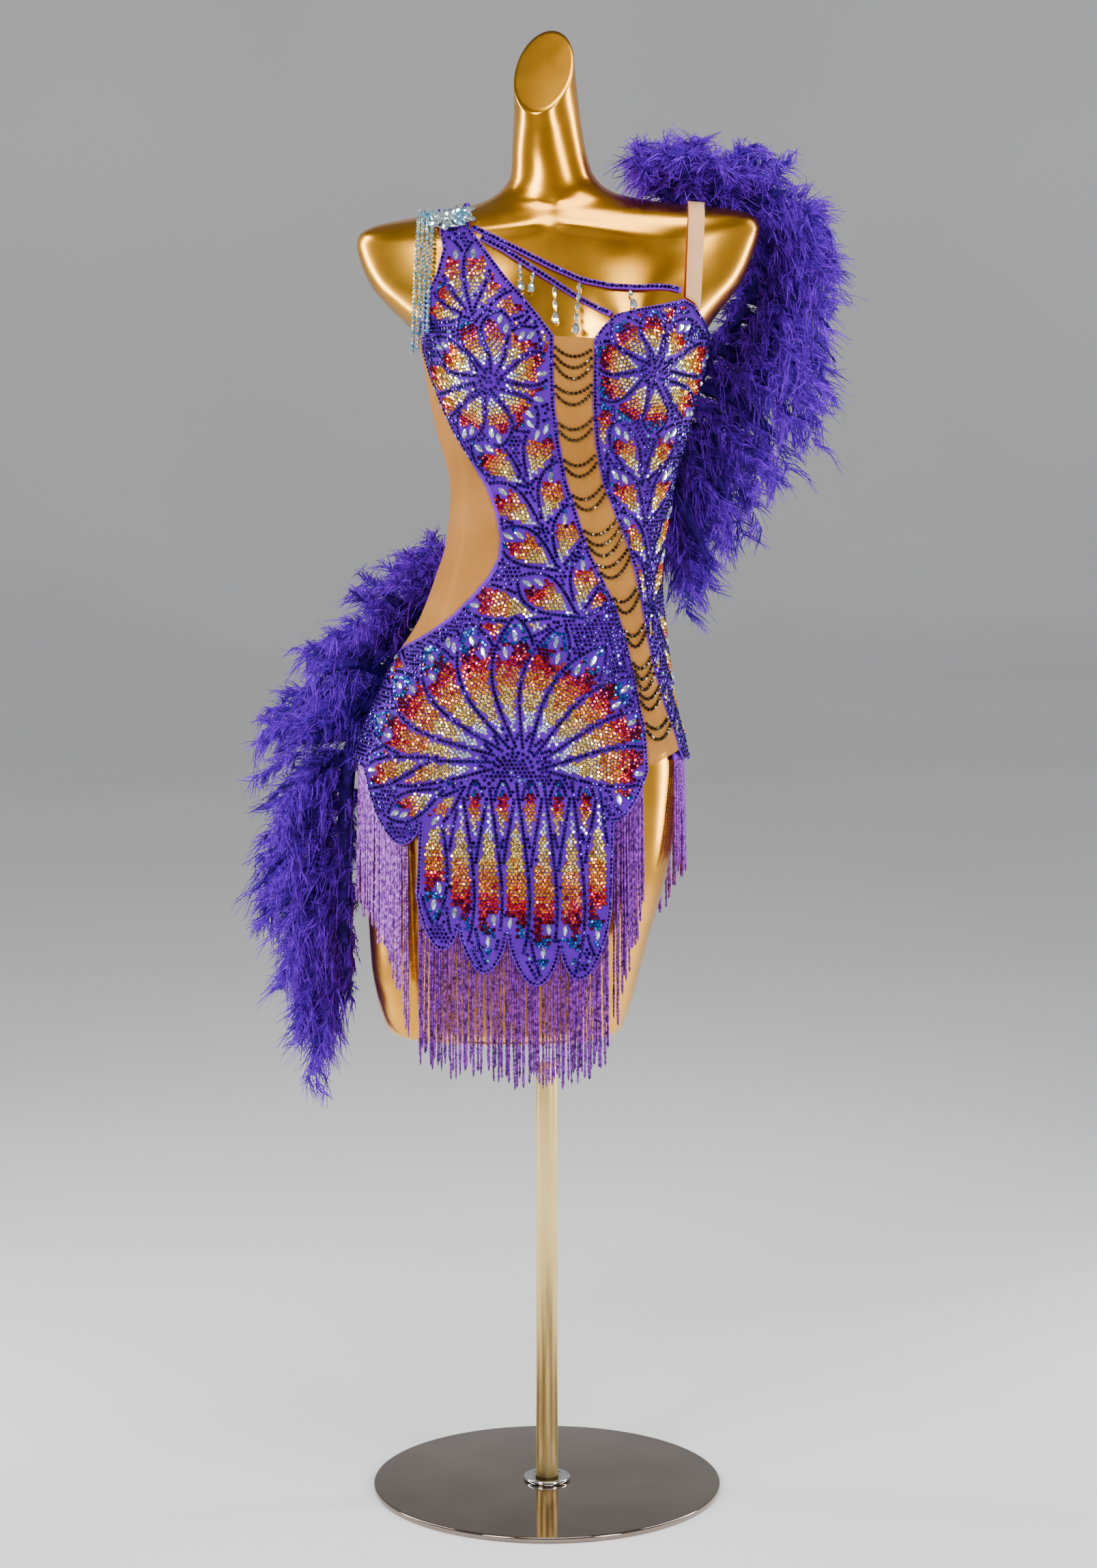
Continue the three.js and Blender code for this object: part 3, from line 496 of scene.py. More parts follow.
CRYSTAL_COLOURS = {
    "violet": ((0.003, 0.0, 0.02), (0.012, 0.0, 0.075), (0.06, 0.0, 0.34)),
    "indigo": ((0.002, 0.001, 0.02), (0.006, 0.002, 0.08), (0.03, 0.01, 0.32)),
    "white": ((0.55, 0.6, 0.7), (0.95, 0.96, 0.97), (0.7, 0.88, 1.0)),
    "gold": ((0.55, 0.36, 0.02), (0.92, 0.70, 0.10), (1.0, 0.93, 0.38)),
    "amber": ((0.50, 0.12, 0.0), (0.88, 0.31, 0.0), (1.0, 0.55, 0.02)),
    "red": ((0.34, 0.0, 0.0), (0.66, 0.01, 0.0), (1.0, 0.10, 0.0)),
    "dark_red": ((0.04, 0.0, 0.001), (0.13, 0.0, 0.003), (0.38, 0.0, 0.006)),
    "sapphire": ((0.001, 0.02, 0.13), (0.003, 0.09, 0.34), (0.01, 0.30, 0.7)),
    "sky": ((0.06, 0.38, 0.75), (0.25, 0.68, 0.95), (0.6, 0.92, 1.0)),
    "hematite": ((0.015, 0.012, 0.01), (0.05, 0.038, 0.028), (0.16, 0.11, 0.06)),
    "clear": ((0.25, 0.36, 0.4), (0.7, 0.85, 0.87), (0.98, 1.0, 1.0)),
}
CRYSTALS = {name: crystal(f"crystal_{name}", *tones) for name, tones in CRYSTAL_COLOURS.items()}
COLOURS = list(CRYSTALS)


def satin(name, dark, light):
    """Twisted satin yarn, brighter and darker in short steps down its length: painted sheen and
    painted shade of the twist over the yarn's own colour.
    """
    material, tree, shader = new_material(name)
    paint(tree, shader, clouds(tree, 300, 2, (1, 1, 0.8)), [(0.36, dark), (0.66, light)])
    finish_of(shader, Roughness=0.32, Specular_IOR_Level=0.4)
    finish_of(shader, Anisotropic=0.5, Metallic=0.35)
    bump(tree, shader, clouds(tree, 900, 2, (1, 1, 0.4)), 0.5, 0.0003)
    return material


# the cords' bright and dark steps are painted sheen and shade along the twist
LILAC_CORD = satin("lilac_cord_painted_sheen", (0.17, 0.01, 0.34), (0.72, 0.26, 0.95))
PLUM_CORD = satin("plum_cord_painted_sheen", (0.05, 0.0, 0.13), (0.36, 0.04, 0.62))


def feather(name, dark, light):
    """Dull, soft barbs, darker and lighter from lock to lock, partly in their own tone and partly as
    painted highlight and shade.
    """
    material, tree, shader = new_material(name)
    paint(tree, shader, clouds(tree, 120, 3), [(0.3, dark), (0.72, light)])
    finish_of(shader, Roughness=0.75, Specular_IOR_Level=0.12)
    bump(tree, shader, clouds(tree, 1500, 2), 0.4, 0.0002)
    return material


# the flues' light end is painted highlight on the plumes, the dark end partly painted shade between
# locks
FLUE = feather("feather_flue", (0.034, 0.0, 0.16), (0.21, 0.0, 0.84))
# the down's far darker colour is painted shade inside the trim, under the flues
DOWN = feather("feather_down_painted_shade", (0.010, 0.0, 0.07), (0.03, 0.0, 0.2))


# ---- the form and its stand ----
AXIS = 0.01  # the least radius of a turned body
DISC_RADIUS, DISC_TOP = 175, 6
FLANGE_RADIUS, FLANGE_TOP = 23.5, 10.3
POLE_RADIUS, POLE_JOINT, POLE_TOP = 11, 420, 438
SOCKET_RADIUS, SOCKET_TOP = 12, 465.7
NECK_Z = 1403
NECK_LIPS = [(0.985, 1.2), (0.9, 1.4)]  # share of the neck's end, and its rise
BONE_Z, BONE_FALL, BONE_WIDE, BONE_OUT, BONE_REACH = 1262, 0.16, 7, 2.6, 110
NOTCH_X, NOTCH_Z, NOTCH_WIDE, NOTCH_HIGH, NOTCH_DEEP = 2, 1274, 11, 9, 2.5


def display_form():
    """The armless form, with collar bones, an open-cut neck and a flat foot."""
    levels = np.concatenate([
        [FORM_FOOT_Z, 466.6, 468, 470.5, 474],
        np.arange(480, 1240, 8.0),
        np.arange(1240, 1300, 2.0),
        np.arange(1300, NECK_Z, 6.0),
        [NECK_Z],
    ])
    turn = np.linspace(0, 2 * np.pi, 192, endpoint=False)
    angle, level = np.meshgrid(turn, levels)
    points = FORM.point(angle, level)
    side, high = points[..., 0] - NOTCH_X, points[..., 2]
    away = np.abs(side)
    front = np.clip(-np.sin(angle), 0, 1)
    ridge = np.exp(-(((high - (BONE_Z - BONE_FALL * away)) / BONE_WIDE) ** 2))
    reach = np.clip(1.25 - away / BONE_REACH, 0, 1) * np.clip(away / 16, 0, 1)
    notch = np.exp(-((side / NOTCH_WIDE) ** 2) - ((high - NOTCH_Z) / NOTCH_HIGH) ** 2)
    points[..., 1] -= front * (BONE_OUT * ridge * reach - NOTCH_DEEP * notch)
    inner = points[-1].copy()
    centre = inner.mean(0)
    lips = [centre + (inner - centre) * share + (0, 0, up) for share, up in NECK_LIPS]
    rings = np.concatenate([points, np.stack(lips)])
    return lofted_object("display_form_shell", rings, GOLD)


def bend(profile, corners):
    """A profile with each numbered corner rounded by four short steps."""
    made = []
    for i, (r, z) in enumerate(profile):
        if i not in corners:
            made.append((r, z))
            continue
        (ar, az), (br, bz), size = profile[i - 1], profile[i + 1], corners[i]
        a = np.array([ar - r, az - z], float)
        b = np.array([br - r, bz - z], float)
        a, b = a / np.hypot(*a), b / np.hypot(*b)
        for t in (0, 0.25, 0.5, 0.75, 1):
            p = np.array([r, z]) + size * (a * (1 - t) ** 2 + b * t**2)
            made.append(tuple(p))
    return made


def turned_piece(name, low, high, corners, material, slot, replaced, inner=AXIS, around=64):
    """A turned fitting between (radius, z) and (radius, z), with some corners rounded."""
    (r0, z0), (r1, z1) = low, high
    profile = bend([(inner, z0), (r0, z0), (r1, z1), (inner, z1)], corners)
    if inner > AXIS:
        profile.append(profile[0])
    settle(lathe(name, profile, material, around), slot, replaced)


def stand():
    """The mirror disc, the flange on it, the pole and its socket, one on the other."""
    r = DISC_RADIUS
    disc = bend([(AXIS, 0), (r - 1, 0), (r, 1), (r, DISC_TOP), (AXIS, DISC_TOP)], {3: 2.2})
    settle(lathe("stand_base_disc", disc, MIRROR, 192), "stand_mirror", "stand_base")
    foot, r = DISC_TOP + SEAM_GAP, FLANGE_RADIUS
    turned_piece(
        "stand_flange_ring", (r, foot), (r, FLANGE_TOP), {2: 1.4}, CHROME, "stand_chrome",
        "stand_flange", POLE_RADIUS + SEAM_GAP, 128,
    )
    r = POLE_RADIUS
    turned_piece(
        "stand_pole_tube", (r, foot), (r, POLE_JOINT), {2: 0.8}, POLE_GOLD, "stand_gold",
        "stand_pole_lower",
    )
    turned_piece(
        "stand_pole_end", (r, POLE_JOINT + SEAM_GAP), (r, POLE_TOP), {1: 0.8}, POLE_GOLD,
        "stand_gold", "stand_pole_upper",
    )
    r = SOCKET_RADIUS
    turned_piece(
        "stand_socket", (r, POLE_TOP + SEAM_GAP), (r, SOCKET_TOP), {1: 1.2, 2: 0.8}, SOCKET,
        "stand_gold", "stand_sleeve",
    )


# ---- seam lines seen from the front, [x, z] ----
def beside(points, d):
    """A seam line moved sideways by d, towards +X where it runs down."""
    p = np.array(points, float)
    before, after = np.vstack([p[:1], p[:-1]]), np.vstack([p[1:], p[-1:]])
    run = unit(after - before)
    return (p + d * np.stack([-run[:, 1], run[:, 0]], -1)).tolist()


def petals(rows):
    """Rounded hem petals between valleys: from x, z to x, z, hanging by drop."""
    made = []
    for x0, z0, x1, z1, drop in rows:
        for i in range(24):
            t = (i + 1) / 24
            hang = drop * math.sin(math.pi * t) ** 0.62 if i < 23 else 0
            made.append([mix(x0, x1, t), mix(z0, z1, t) - hang])
    return made


NECKLINE = [[-74, 1300], [-74, 1254], [-56, 1230], [-39, 1207], [-24, 1190], [-8, 1171]]
STRIP_RIGHT_SIDE = [
    [6, 1153], [5, 1127], [7, 1088], [12, 1051], [18, 1018], [29, 983], [39, 950],
    [53, 921], [63, 900], [73, 870], [81, 836], [87, 806], [91, 781], [93.5, 740],
]
STRIP_LEFT_SIDE = [
    [46, 1151], [45, 1122], [44, 1088], [46, 1051], [53, 1014], [65, 983], [75, 958],
    [83, 928], [89, 900], [94, 870], [101, 836], [109, 808], [115, 785], [123, 753],
]
ARMHOLE = [
    [-119, 1165], [-116, 1185], [-104, 1210], [-98, 1234], [-102, 1256], [-105, 1300],
]
WAIST_CUT = [
    [-119, 1161], [-117, 1139], [-111, 1117], [-96, 1079], [-87, 1060], [-72, 1035],
    [-57, 1010], [-48, 985], [-44, 961], [-46, 941], [-55, 924], [-70, 906],
    [-89, 886], [-112, 868], [-135, 853], [-156, 832], [-200, 800],
]
FRONT_HEM = [
    [94, 738],
    *petals([[94, 738, 62, 692, 13]]),
    [60, 606],
    *petals([
        [60, 606, 12, 572, 48],
        [12, 572, -38, 586, 45],
        [-38, 586, -84, 592, 43],
        [-84, 592, -123, 618, 36],
    ]),
    [-120, 690],
    *petals([[-120, 690, -172, 736, 42]]),
    [-200, 742],
]
BACK_TOP = [
    [-74, 1300], [-72, 1240], [-44, 1190], [0, 1152], [60, 1138], [110, 1150],
    [150, 1160], [157, 1150], [210, 1140],
]
BACK_WAIST = [[210, 906], [120, 908], [30, 898], [-60, 872], [-140, 838], [-210, 795]]
BACK_HEM = [
    [-210, 742],
    *petals([
        [-190, 742, -130, 700, 20],
        [-130, 700, -60, 645, 26],
        [-60, 645, 10, 645, 28],
        [10, 645, 80, 690, 24],
        [80, 690, 132, 738, 16],
    ]),
    [210, 742],
]


# ---- panels ----
SCALE = 130.0  # millimetres a radian in the flat chart of angle and level
MESH_STEP = 4.0
STRETCH_EASE = 0.92  # a panel's size as cut, for its size as worn
CUT_ROOM, LEAST_FILL = 1.02, 0.5  # a flat rectangle's spare room, and its least filled share
OUTLINE_STEP = 2.0
CHART_LOW, SHOULDER_LOW, SHOULDER_TOP = 470, 1250, 1281
OVER_SHOULDER_X, OVER_SHOULDER_Z = -55, 1240  # beyond these a panel ends on the top seam
SEAM_CLEAR = 0.012  # radians next to a side seam that stay unbound


def seam_angle(level, side, right):
    """The angle of the side seam on the front (-1) or back (1), the wearer's right or left."""
    _, _, front, back, power, _, _ = DRESS.section(level)
    y = SIDE_SEAM_Y + side * SEAM_GAP / 2
    lift = cloth_lift(level) + CLOTH
    s = (y - (front + back) / 2) / ((back - front) / 2 + lift)
    tilt = np.arcsin(signed_power(np.clip(s, -0.9, 0.9), power / 2))
    if not right:
        return tilt
    return (-np.pi if side < 0 else np.pi) - tilt


TOP_LEVELS = np.linspace(SHOULDER_LOW, SHOULDER_TOP, 94)


def to_chart(outline, side):
    """A front-view outline in the flat chart, closed along the side seams."""
    p = np.array(outline, float)
    ends = np.vstack([p[1:], p[:1]])
    fine = []
    for a, b in zip(p, ends):
        steps = max(1, int(np.hypot(*(b - a)) / OUTLINE_STEP))
        fine.extend(a + (b - a) * i / steps for i in range(steps))
    fine = np.array(fine)
    x, z = fine.T
    angle, level = DRESS.seen(x, z, side)
    level = np.clip(level, CHART_LOW, SHOULDER_TOP)
    right, left = seam_angle(level, side, True), seam_angle(level, side, False)
    cx, half = DRESS.section(level)[:2]
    past = np.abs(x - cx) >= half * 0.9995
    if side < 0:
        angle = np.clip(angle, right, left)
    angle = np.where(past, np.where(x < cx, right, left), angle)
    # over the wearer's right shoulder the panel ends on the top seam
    top = DRESS.point(seam_angle(TOP_LEVELS, side, True), TOP_LEVELS)
    over = (x < OVER_SHOULDER_X) & (z > OVER_SHOULDER_Z)
    ridge = np.interp(x, top[:, 0], TOP_LEVELS)
    high = over & (z >= np.interp(x, top[:, 0], top[:, 2]) - 1)
    level = np.where(high, ridge, level)
    angle = np.where(high, seam_angle(ridge, side, True), angle)
    chart = np.stack([angle * SCALE, level], -1)
    step = np.linalg.norm(chart - np.roll(chart, 1, 0), axis=1)
    return chart[step > 0.05]


def inside(points, loop):
    """Which points lie inside a closed loop, and how far each is from it."""
    a, b = loop, np.roll(loop, -1, 0)
    held = np.zeros(len(points), bool)
    far = np.full(len(points), 1e9)
    for (ax, ay), (bx, by) in zip(a, b):
        x, y = points[:, 0], points[:, 1]
        if ay != by:
            crosses = ((ay > y) != (by > y)) & (x < (bx - ax) * (y - ay) / (by - ay) + ax)
            held ^= crosses
        long = max((bx - ax) ** 2 + (by - ay) ** 2, 1e-9)
        t = np.clip(((x - ax) * (bx - ax) + (y - ay) * (by - ay)) / long, 0, 1)
        away = np.hypot(x - ax - t * (bx - ax), y - ay - t * (by - ay))
        far = np.minimum(far, away)
    return held, far


def from_chart(chart, above=0.0):
    """Points and normals on the cloth's outer face, lifted by above."""
    return above_cloth(chart[:, 0] / SCALE, chart[:, 1], above)


def panel(name, loop, material):
    """A cloth panel inside a loop of the chart, as an even net of triangles."""
    low, high = loop.min(0), loop.max(0)
    rows = np.arange(low[1], high[1], MESH_STEP * 0.87)
    cols = np.arange(low[0], high[0], MESH_STEP)
    grid = np.array([[c + (i % 2) * MESH_STEP / 2, r] for i, r in enumerate(rows) for c in cols])
    held, far = inside(grid, loop)
    grid = grid[held & (far > MESH_STEP * 0.45)]
    every = np.vstack([loop, grid])
    edges = [(i, (i + 1) % len(loop)) for i in range(len(loop))]
    flat, _, faces, *_ = delaunay_2d_cdt([Vector(p) for p in every], edges, [], 0, 1e-4)
    flat = np.array([tuple(p) for p in flat])
    faces = np.array([f for f in faces if len(f) == 3])
    held, _ = inside(flat[faces].mean(1), loop)
    points, _ = from_chart(flat)
    thing = make_object(name, points, faces[held], [material])
    thicken(thing, CLOTH)
    return thing


def cloth_area(thing):
    """The one-sided area of a panel's mesh, in square metres."""
    areas = np.zeros(len(thing.data.polygons))
    thing.data.polygons.foreach_get("area", areas)
    return float(areas.sum())


def declare_stretched(thing, loop):
    """Works out the flat size of a body-hugging panel, cut smaller than the figure by its stretch;
    the result is not kept.
    """
    wide, long = np.ptp(loop, axis=0) * STRETCH_EASE * CUT_ROOM * MM
    area = cloth_area(thing) * STRETCH_EASE**2
    wide = min(max(wide, area / long), area / long / LEAST_FILL)


# ---- bindings ----
def swept(name, path, normal, inward, profile, material):
    """A profile of (inward, out) pairs carried along a path, as a closed tube."""
    rings = np.stack([path + inward * a + normal * b for a, b in profile], 1)
    return lofted_object(name, rings, material)


EDGE = [
    (-0.5, -1.6), (-0.8, -0.4), (-0.5, 0.5), (0.6, 0.75), (2.0, 0.7), (3.4, 0.7), (3.9, 0.1),
    (2.0, 0.05),
]
BINDING_STEP = 2.5
STITCH_WIDE, STITCH_HIGH = 0.26, 0.16


def bound_runs(loop, side):
    """The parts of a loop off the side seams, as evenly spaced stations in the chart."""
    line = np.vstack([loop, loop[:1]])
    walk = walk_along(line)
    chart = sampled(line, walk, np.arange(0, walk[-1], BINDING_STEP))
    angle, level = chart[:, 0] / SCALE, chart[:, 1]
    free = np.ones(len(chart), bool)
    for right in (True, False):
        free &= np.abs(angle - seam_angle(level, side, right)) > SEAM_CLEAR
    if free.all():
        return [np.vstack([chart, chart[:1]])]
    start = int(np.argmin(free))
    chart, free = np.roll(chart, -start, 0), np.roll(free, -start)
    cuts = np.flatnonzero(np.diff(free.astype(int))) + 1
    runs = zip(np.split(chart, cuts), np.split(free, cuts))
    return [run for run, kept in runs if kept[0] and len(run) > 3]


def turn_of(loop):
    """1 for a loop that runs anticlockwise in the chart, otherwise -1."""
    x, y = loop.T
    return np.sign(np.sum(x * np.roll(y, -1) - y * np.roll(x, -1)))


def join_objects(name, things):
    """One object of several, with the first one's place in the scene."""
    for other in bpy.context.selected_objects:
        other.select_set(False)
    for thing in things:
        thing.select_set(True)
    bpy.context.view_layer.objects.active = things[0]
    if len(things) > 1:
        bpy.ops.object.join()
    made = bpy.context.view_layer.objects.active
    made.name = name
    made.data.name = name
    return made


def zigzag(path, normal, inward, near=0.7, far=3.2, pitch=1.5, out=0.85):
    """Points and faces of a fine zigzag stitch along a path."""
    walk = walk_along(path)
    count = max(4, int(walk[-1] / pitch))
    at = np.linspace(0, walk[-1], count)
    p, n, i = [sampled(v, walk, at) for v in (path, normal, inward)]
    side = np.where(np.arange(count) % 2 == 0, near, far)[:, None]
    mid = p + i * side + n * out
    wide = unit(np.cross(n, unit(np.gradient(mid, axis=0)))) * STITCH_WIDE
    points = np.stack([mid - wide, mid + n * STITCH_HIGH, mid + wide], 1).reshape(-1, 3)
    k = np.arange(count - 1)[:, None] * 3
    return points, np.concatenate([k + (0, 1, 4, 3), k + (1, 2, 5, 4)])


def bound_edges(name, loop, side):
    """Bindings with a zigzag stitch along a panel's free edges, joined in one piece."""
    made = []
    for i, run in enumerate(bound_runs(loop, side)):
        path, normal = from_chart(run)
        inward = sideways(path, normal) * turn_of(loop)
        profile = EDGE if turn_of(loop) > 0 else EDGE[::-1]
        made.append(swept(f"{name}_{i}", path, normal, inward, profile, BINDING))
        points, faces = zigzag(path, normal, inward)
        made.append(make_object(f"{name}_stitch_{i}", points, faces, [THREAD]))
    return join_objects(name, made)


# ---- stones ----
def in_plane(normal, turn):
    """Two directions across a normal, turned about it by an angle."""
    first = unit(np.cross(normal, np.where(np.abs(normal[:, 2:]) < 0.9, (0, 0, 1), (1, 0, 0))))
    second = np.cross(normal, first)
    c, s = np.cos(turn)[:, None], np.sin(turn)[:, None]
    return first * c + second * s, second * c - first * s


def circles(ahead, around):
    """A unit circle of points across each direction."""
    turn = np.arange(around) * 2 * np.pi / around
    first, second = in_plane(ahead, np.zeros(len(ahead)))
    return first[:, None] * np.cos(turn)[:, None] + second[:, None] * np.sin(turn)[:, None]


def gem_shape(sides, wide, pointed):
    """A flat-backed cut stone: its rim, its table and the facets between, as triangles."""
    t = np.arange(sides) * 2 * np.pi / sides
    c, s = np.cos(t), np.sin(t)
    taper = np.abs(s) ** pointed * np.sign(s) if pointed else s
    rim = np.stack([c, wide * taper, np.zeros(sides)], -1)
    low = rim + (0, 0, 0.3)
    top = rim * (0.58, 0.58, 0) + (0, 0, 1.0)
    points = np.concatenate([rim, low, top])
    j = np.arange(sides)
    k = (j + 1) % sides
    faces = [np.stack([j, k, k + sides], -1), np.stack([j, k + sides, j + sides], -1)]
    faces += [np.stack([j + sides, k + sides, k + 2 * sides], -1)]
    faces += [np.stack([j + sides, k + 2 * sides, j + 2 * sides], -1)]
    table = [(2 * sides, 2 * sides + i, 2 * sides + i + 1) for i in range(1, sides - 1)]
    return points, np.concatenate([*faces, np.array(table)])


ROUND = gem_shape(6, 1, 0)
ROUND = (ROUND[0][6:], ROUND[1][12:] - 6)  # its thin rim is left off where stones are many
NAVETTE = gem_shape(12, 0.5, 1.35)
STONE_HIGH, HIGHEST = 0.72, 3.2  # a stone's height for its radius, and where that stops growing

STONE_PITCH, STONE_GAP = 3.8, 3.3
STONE_MARGIN = 4.6  # bare cloth along the edges, where the bindings lie
LEAF_STONE, OUTLINE_STONE, GROUND_STONE, EDGE_STONE = 2.02, 1.95, 1.8, 1.8
LONG_STONE, LONG_STONE_GAP, LONG_STONE_MARGIN = 5.6, 6.6, 7.6
EDGE_STONE_PITCH, EDGE_STONE_IN, EDGE_STONE_OUT = 3.9, 1.75, 0.72


def set_stones(name, points, normals, sizes, picks, palette, shape=ROUND, turn=None, tilt=0.1):
    """Many stones as one mesh, each with its size and its pick of the palette.

    A size is the radius, or half the length of a long stone.
    """
    count = len(points)
    turn = dice.uniform(0, 6.28, count) if turn is None else np.asarray(turn, float)
    normals = unit(normals + dice.normal(0, tilt, (count, 3)))
    across, up = in_plane(normals, turn)
    base, faces = shape
    size = np.broadcast_to(np.asarray(sizes, float), (count,))[:, None, None]
    high = np.minimum(size, HIGHEST) * STONE_HIGH
    made = (
        points[:, None]
        + across[:, None] * base[None, :, :1] * size
        + up[:, None] * base[None, :, 1:2] * size
        + normals[:, None] * base[None, :, 2:] * high
    )
    shift = (np.arange(count) * len(base))[:, None, None]
    every = (faces[None] + shift).reshape(-1, 3)
    which = np.repeat(np.broadcast_to(picks, (count,)), len(faces))
    return make_object(name, made, every, [CRYSTALS[c] for c in palette], which, smooth=False)


class Spread:
    """Places already taken in the chart, so that stones keep their distance."""

    CELL = 3.0

    def __init__(self):
        self.taken = {}

    def add(self, u, v, gap):
        """Takes a place if nothing is nearer than the gap, and says whether it did."""
        i, j = int(u // self.CELL), int(v // self.CELL)
        reach = int(gap // self.CELL) + 1
        for a in range(i - reach, i + reach + 1):
            for b in range(j - reach, j + reach + 1):
                for pu, pv, pg in self.taken.get((a, b), ()):
                    room = max(gap, pg)
                    if (pu - u) ** 2 + (pv - v) ** 2 < room * room:
                        return False
        self.taken.setdefault((i, j), []).append((u, v, gap))
        return True


# lengths round the figure, from the front middle, at each level of the chart
SPAN_STEP = 3.0
SPAN_LEVELS = np.arange(480, 1290, SPAN_STEP)
SPAN_ANGLES = np.linspace(-np.pi - 0.3, 0.3, 361)


def girth_table():
    """The length from the front middle to each angle, at each level."""
    points = DRESS.point(SPAN_ANGLES[None], SPAN_LEVELS[:, None])
    steps = np.linalg.norm(np.diff(points, axis=1), axis=2)
    walk = np.concatenate([np.zeros((len(steps), 1)), np.cumsum(steps, 1)], 1)
    middle = len(SPAN_ANGLES) // 2
    return walk - walk[:, middle : middle + 1]


GIRTH = girth_table()


def length_at(angle, level):
    """How far round the figure an angle lies from the front middle, in millimetres."""
    i = np.clip((level - SPAN_LEVELS[0]) / SPAN_STEP, 0, len(SPAN_LEVELS) - 1.001)
    j = (angle - SPAN_ANGLES[0]) / (SPAN_ANGLES[1] - SPAN_ANGLES[0])
    j = np.clip(j, 0, len(SPAN_ANGLES) - 1.001)
    i0, j0 = i.astype(int), j.astype(int)
    fi, fj = i - i0, j - j0
    low = GIRTH[i0, j0] * (1 - fj) + GIRTH[i0, j0 + 1] * fj
    high = GIRTH[i0 + 1, j0] * (1 - fj) + GIRTH[i0 + 1, j0 + 1] * fj
    return low * (1 - fi) + high * fi


def angle_at(length, level):
    """The angle that lies so far round the figure from the front middle."""
    angle = -np.pi / 2 + length / 140.0
    for _ in range(8):
        slope = (length_at(angle + 0.01, level) - length_at(angle - 0.01, level)) / 0.02
        angle = angle - (length_at(angle, level) - length) / np.maximum(slope, 20)
        angle = np.clip(angle, -np.pi - 0.28, 0.28)
    return angle


def unrolled(x, z):
    """Front-view points as lengths round and up the cloth."""
    angle, level = DRESS.seen(x, z, -1)
    return np.stack([length_at(angle, level), level], -1)


# ---- the stone design: plain rosettes, leaves and fans ----
# a leaf, seen from the front: its root x, z, its tip x, z and its half width
def fan(x, z, start, stop, count, long, wide, root, swell=0.0):
    """Leaves round a middle: from and to an angle in degrees, at even steps."""
    made = []
    for i in range(count):
        t = i / max(count - 1, 1)
        turn = math.radians(mix(start, stop, t))
        reach = long * (1 + swell * math.sin(math.pi * t))
        c, s = math.cos(turn), math.sin(turn)
        made.append([x + root * c, z + root * s, x + reach * c, z + reach * s, wide])
    return made


def stem_leaves(stops, reach, wide, lean):
    """Pairs of leaves up a stem, from its stops."""
    made = []
    for (ax, az), (bx, bz) in zip(stops, stops[1:]):
        run = math.atan2(bz - az, bx - ax)
        for side in (1, -1):
            turn = run + side * math.radians(lean)
            made.append([ax, az, ax + reach * math.cos(turn), az + reach * math.sin(turn), wide])
    return made


RIGHT_LEAVES = [
    *fan(-54, 1112, 14, 346, 11, 64, 15.5, 8),
    *fan(-70, 1166, 84, 108, 2, 84, 13, 6),
    *fan(-70, 1166, 22, 62, 2, 62, 13, 6),
    *fan(-70, 1166, 130, 160, 2, 56, 13, 6),
    [-96, 722, -150, 692, 13],
    [-104, 752, -178, 722, 13],
    [-78, 724, -118, 684, 10],
    *fan(-30, 742, 0, 180, 11, 142, 19.5, 22, 0.02),
    *fan(-30, 742, 9, 171, 10, 76, 9.5, 16),
    *[[x, 728, x - 1, z, 13.5] for x, z in (
        (-106, 592), (-81, 560), (-55, 552), (-29, 548), (-3, 539), (23, 537), (48, 558),
    )],
    *[[x, 664, x, 732, 8] for x in (-93, -68, -42, -16, 10, 36)],
    [58, 764, 76, 694, 12],
    [76, 800, 92, 722, 11],
    *stem_leaves([[30, 886], [12, 930], [-4, 970], [-18, 1010], [-30, 1050]], 68, 16, 34),
    [30, 884, 62, 914, 8],
    *fan(26, 884, 168, 214, 3, 118, 16, 12),
    *fan(-84, 776, 96, 132, 2, 92, 14, 40),
    *fan(-8, 1176, 200, 280, 3, 50, 10, 4),
    [-80, 1046, -112, 1108, 11],
]
LEFT_LEAVES = [
    *fan(100, 1120, 14, 346, 10, 60, 15, 8),
    *fan(100, 1200, 205, 335, 4, 46, 11, 4),
    *stem_leaves([[98, 892], [97, 932], [92, 972], [90, 1012], [92, 1052]], 66, 13, 27),
    *stem_leaves([[100, 894], [108, 858], [116, 824], [123, 792], [129, 766]], 58, 10.5, 26),
    [150, 1020, 152, 1110, 12],
    [54, 1030, 56, 1100, 9],
]


def leaf_half_width(t, wide):
    """A leaf's half width at a share of its length: narrow at the root, full further out."""
    return wide * np.sin(np.pi * np.clip(t, 0, 1) ** 1.5) ** 0.72


# colours up a leaf from its root, and the shares of its length where they change
GRADES = ["white", "gold", "amber", "red", "dark_red", "sapphire", "sky"]
GRADE_STEPS = [0.26, 0.45, 0.61, 0.70, 0.79, 0.93]
BIG_LEAF_LONG, BIG_LEAF_WIDE = 55, 10


def leaf_frame(leaf):
    """A leaf in the unrolled cloth: root, direction, sideways, length and half width."""
    x0, z0, x1, z1, wide = leaf
    root, tip = unrolled([x0, x1], [z0, z1])
    long = float(np.hypot(*(tip - root)))
    along = (tip - root) / long
    return root, along, np.array([-along[1], along[0]]), long, wide


def shown(points, fronts, margin):
    """The points that no leaf in front hides."""
    hidden = np.zeros(len(points), bool)
    for root, along, aside, long, wide in fronts:
        d = points - root
        t = (d @ along) / long
        near = np.abs(d @ aside) < leaf_half_width(t, wide) + margin
        hidden |= (t > 0) & (t < 1) & near
    return points[~hidden]


